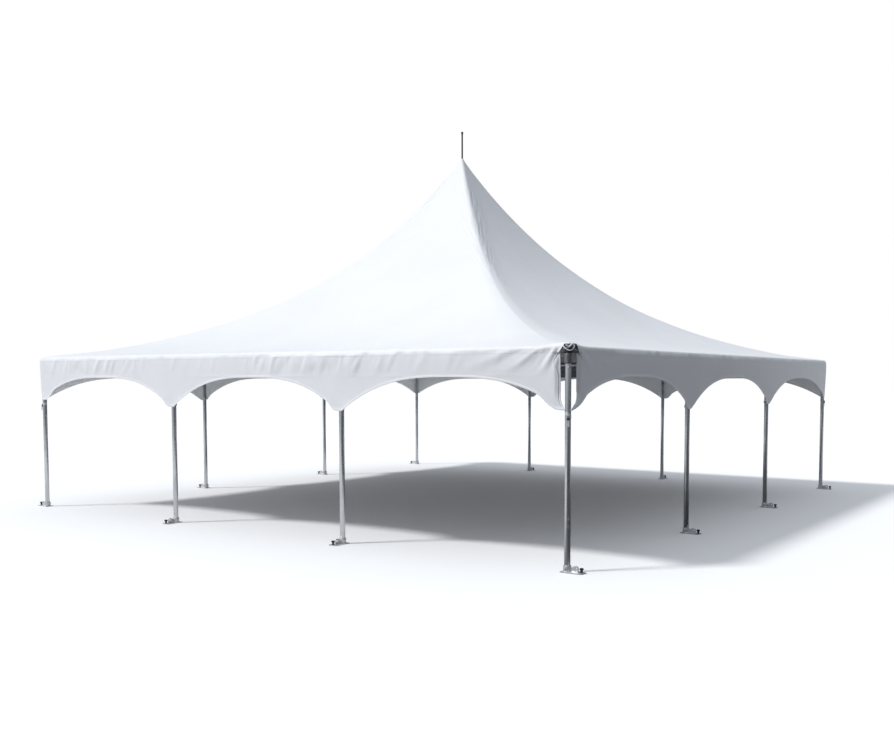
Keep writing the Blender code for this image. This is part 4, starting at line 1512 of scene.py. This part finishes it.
def add_rail_ties(width):
    """Loops of webbing that hold the roof down to the eave tubes."""
    buckle = block(0.030, 0.006, 0.024, 0.0015)
    for side_name, side in SIDES.items():
        piece = Piece(turn_by(side * pi / 2))
        for quarter in range(4 * BAYS):
            if quarter % 4 == 0:
                continue
            x = -HALF + BAY * quarter / 4
            piece.add(WEBBING, strap_round((x, -HALF, RAIL_Z), UP, ACROSS, TUBE_R + 0.002, 24, ALONG, width))
            piece.add(PLATED, buckle, shift(x, -HALF + TUBE_R + 0.006, RAIL_Z - 0.012))
        piece.done(f"eave_ties_{side_name}", [])


def add_hip_straps():
    """Webbing under each hip, from the mast head to the corner fitting."""
    piece = Piece()
    inner, outer = 0.19, HALF - 0.10
    for x, y, _ in CORNERS.values():
        points = []
        for step in range(61):
            reach = inner + (outer - inner) * (step / 60) ** 1.3
            points.append(Vector((x * reach, y * reach, roof_height(reach, reach) - 0.012)))
        piece.add(WEBBING, ribbon(points, Vector((-y, x, 0)).normalized(), 0.050, 0.0016))
    piece.done("hip_straps", [])


def add_stage():
    """A pale floor, a soft key light from the front left, a graded sky and the camera."""
    stage = stage_settings()
    bm = bmesh.new()
    bmesh.ops.create_grid(bm, x_segments=8, y_segments=8, size=stage.floor_half)
    floor_item = linked("studio_floor", mesh_of("studio_floor", bm, ("studio_floor",)))
    floor_item.location.z = -0.0005

    key = bpy.data.lights.new("key", "SUN")
    key.energy = stage.key_strength
    key.angle = radians(9)
    level = cos(stage.key_elevation)
    way = Vector((-sin(stage.key_azimuth) * level, -cos(stage.key_azimuth) * level, sin(stage.key_elevation)))
    linked("key", key).rotation_euler = way.to_track_quat("Z", "Y").to_euler()

    scene = bpy.context.scene
    scene.world = bpy.data.worlds.new("studio")
    scene.world.use_nodes = True
    paint_sky(Recipe(scene.world.node_tree))
    scene.view_settings.view_transform = "Standard"
    scene.view_settings.look = "None"

    camera = bpy.data.cameras.new("camera")
    camera.lens = stage.lens
    camera.sensor_width = 36.0
    camera.sensor_fit = "HORIZONTAL"
    camera.shift_x, camera.shift_y = CAMERA_SHIFT
    camera.clip_end = 500.0
    scene.camera = linked("camera", camera)
    scene.camera.location = CAMERA_PLACE
    scene.camera.rotation_euler = CAMERA_TURN


class MARQUEE_OT_cloth(Operator):
    """Build the roof, the valances and the boot"""

    bl_idname = "marquee.cloth"
    bl_label = "Build Cloth"

    def execute(self, context):
        add_roof()
        add_valances()
        add_boot()
        return {"FINISHED"}


class MARQUEE_OT_legs(Operator):
    """Build the legs and their anchor plates"""

    bl_idname = "marquee.legs"
    bl_label = "Build Legs and Feet"

    def execute(self, context):
        add_legs()
        add_feet()
        return {"FINISHED"}


class MARQUEE_OT_eave(Operator):
    """Build the eave tubes and the corner fittings"""

    bl_idname = "marquee.eave"
    bl_label = "Build Eave"

    def execute(self, context):
        add_rails()
        add_corners()
        return {"FINISHED"}


class MARQUEE_OT_mast(Operator):
    """Build the mast, its cup and head, and the cables that hold it"""

    bl_idname = "marquee.mast"
    bl_label = "Build Mast and Cables"

    def execute(self, context):
        add_mast()
        add_cables()
        return {"FINISHED"}


class MARQUEE_OT_ties(Operator):
    """Build the webbing ties and their buckles"""

    bl_idname = "marquee.ties"
    bl_label = "Build Ties"

    def execute(self, context):
        add_ties()
        return {"FINISHED"}


class MARQUEE_OT_stage(Operator):
    """Build the floor, the light and the camera"""

    bl_idname = "marquee.stage"
    bl_label = "Build Stage"

    def execute(self, context):
        add_stage()
        return {"FINISHED"}


class MARQUEE_PT_looks(Panel):
    """Lists the marquee's settings and its operators"""

    bl_idname = "MARQUEE_PT_looks"
    bl_label = "Marquee"
    bl_space_type = "VIEW_3D"
    bl_region_type = "UI"
    bl_category = "Marquee"

    def draw(self, context):
        for name in ("marquee_cloth", "marquee_frame", "marquee_stage"):
            settings = getattr(context.scene, name)
            column = self.layout.column(align=True)
            for field in settings.bl_rna.properties:
                if field.identifier not in ("rna_type", "name"):
                    column.prop(settings, field.identifier)
        for operator in OPERATORS:
            self.layout.operator(operator.bl_idname)


SETTINGS = {"marquee_cloth": MarqueeCloth, "marquee_frame": MarqueeFrame, "marquee_stage": MarqueeStage}
OPERATORS = (
    MARQUEE_OT_legs, MARQUEE_OT_eave, MARQUEE_OT_mast, MARQUEE_OT_cloth, MARQUEE_OT_ties, MARQUEE_OT_stage)
CLASSES = (*SETTINGS.values(), *OPERATORS, MARQUEE_PT_looks)


def register():
    """Registers the classes and gives the scene its settings."""
    for kind in CLASSES:
        bpy.utils.register_class(kind)
    for name, kind in SETTINGS.items():
        setattr(bpy.types.Scene, name, PointerProperty(type=kind))


def unregister():
    """Takes back what register did."""
    for name in SETTINGS:
        delattr(bpy.types.Scene, name)
    for kind in reversed(CLASSES):
        bpy.utils.unregister_class(kind)


def main():
    """Builds everything."""
    register()
    bpy.ops.marquee.legs()
    bpy.ops.marquee.eave()
    bpy.ops.marquee.mast()
    bpy.ops.marquee.cloth()
    bpy.ops.marquee.ties()
    bpy.ops.marquee.stage()


if __name__ == "__main__":
    main()
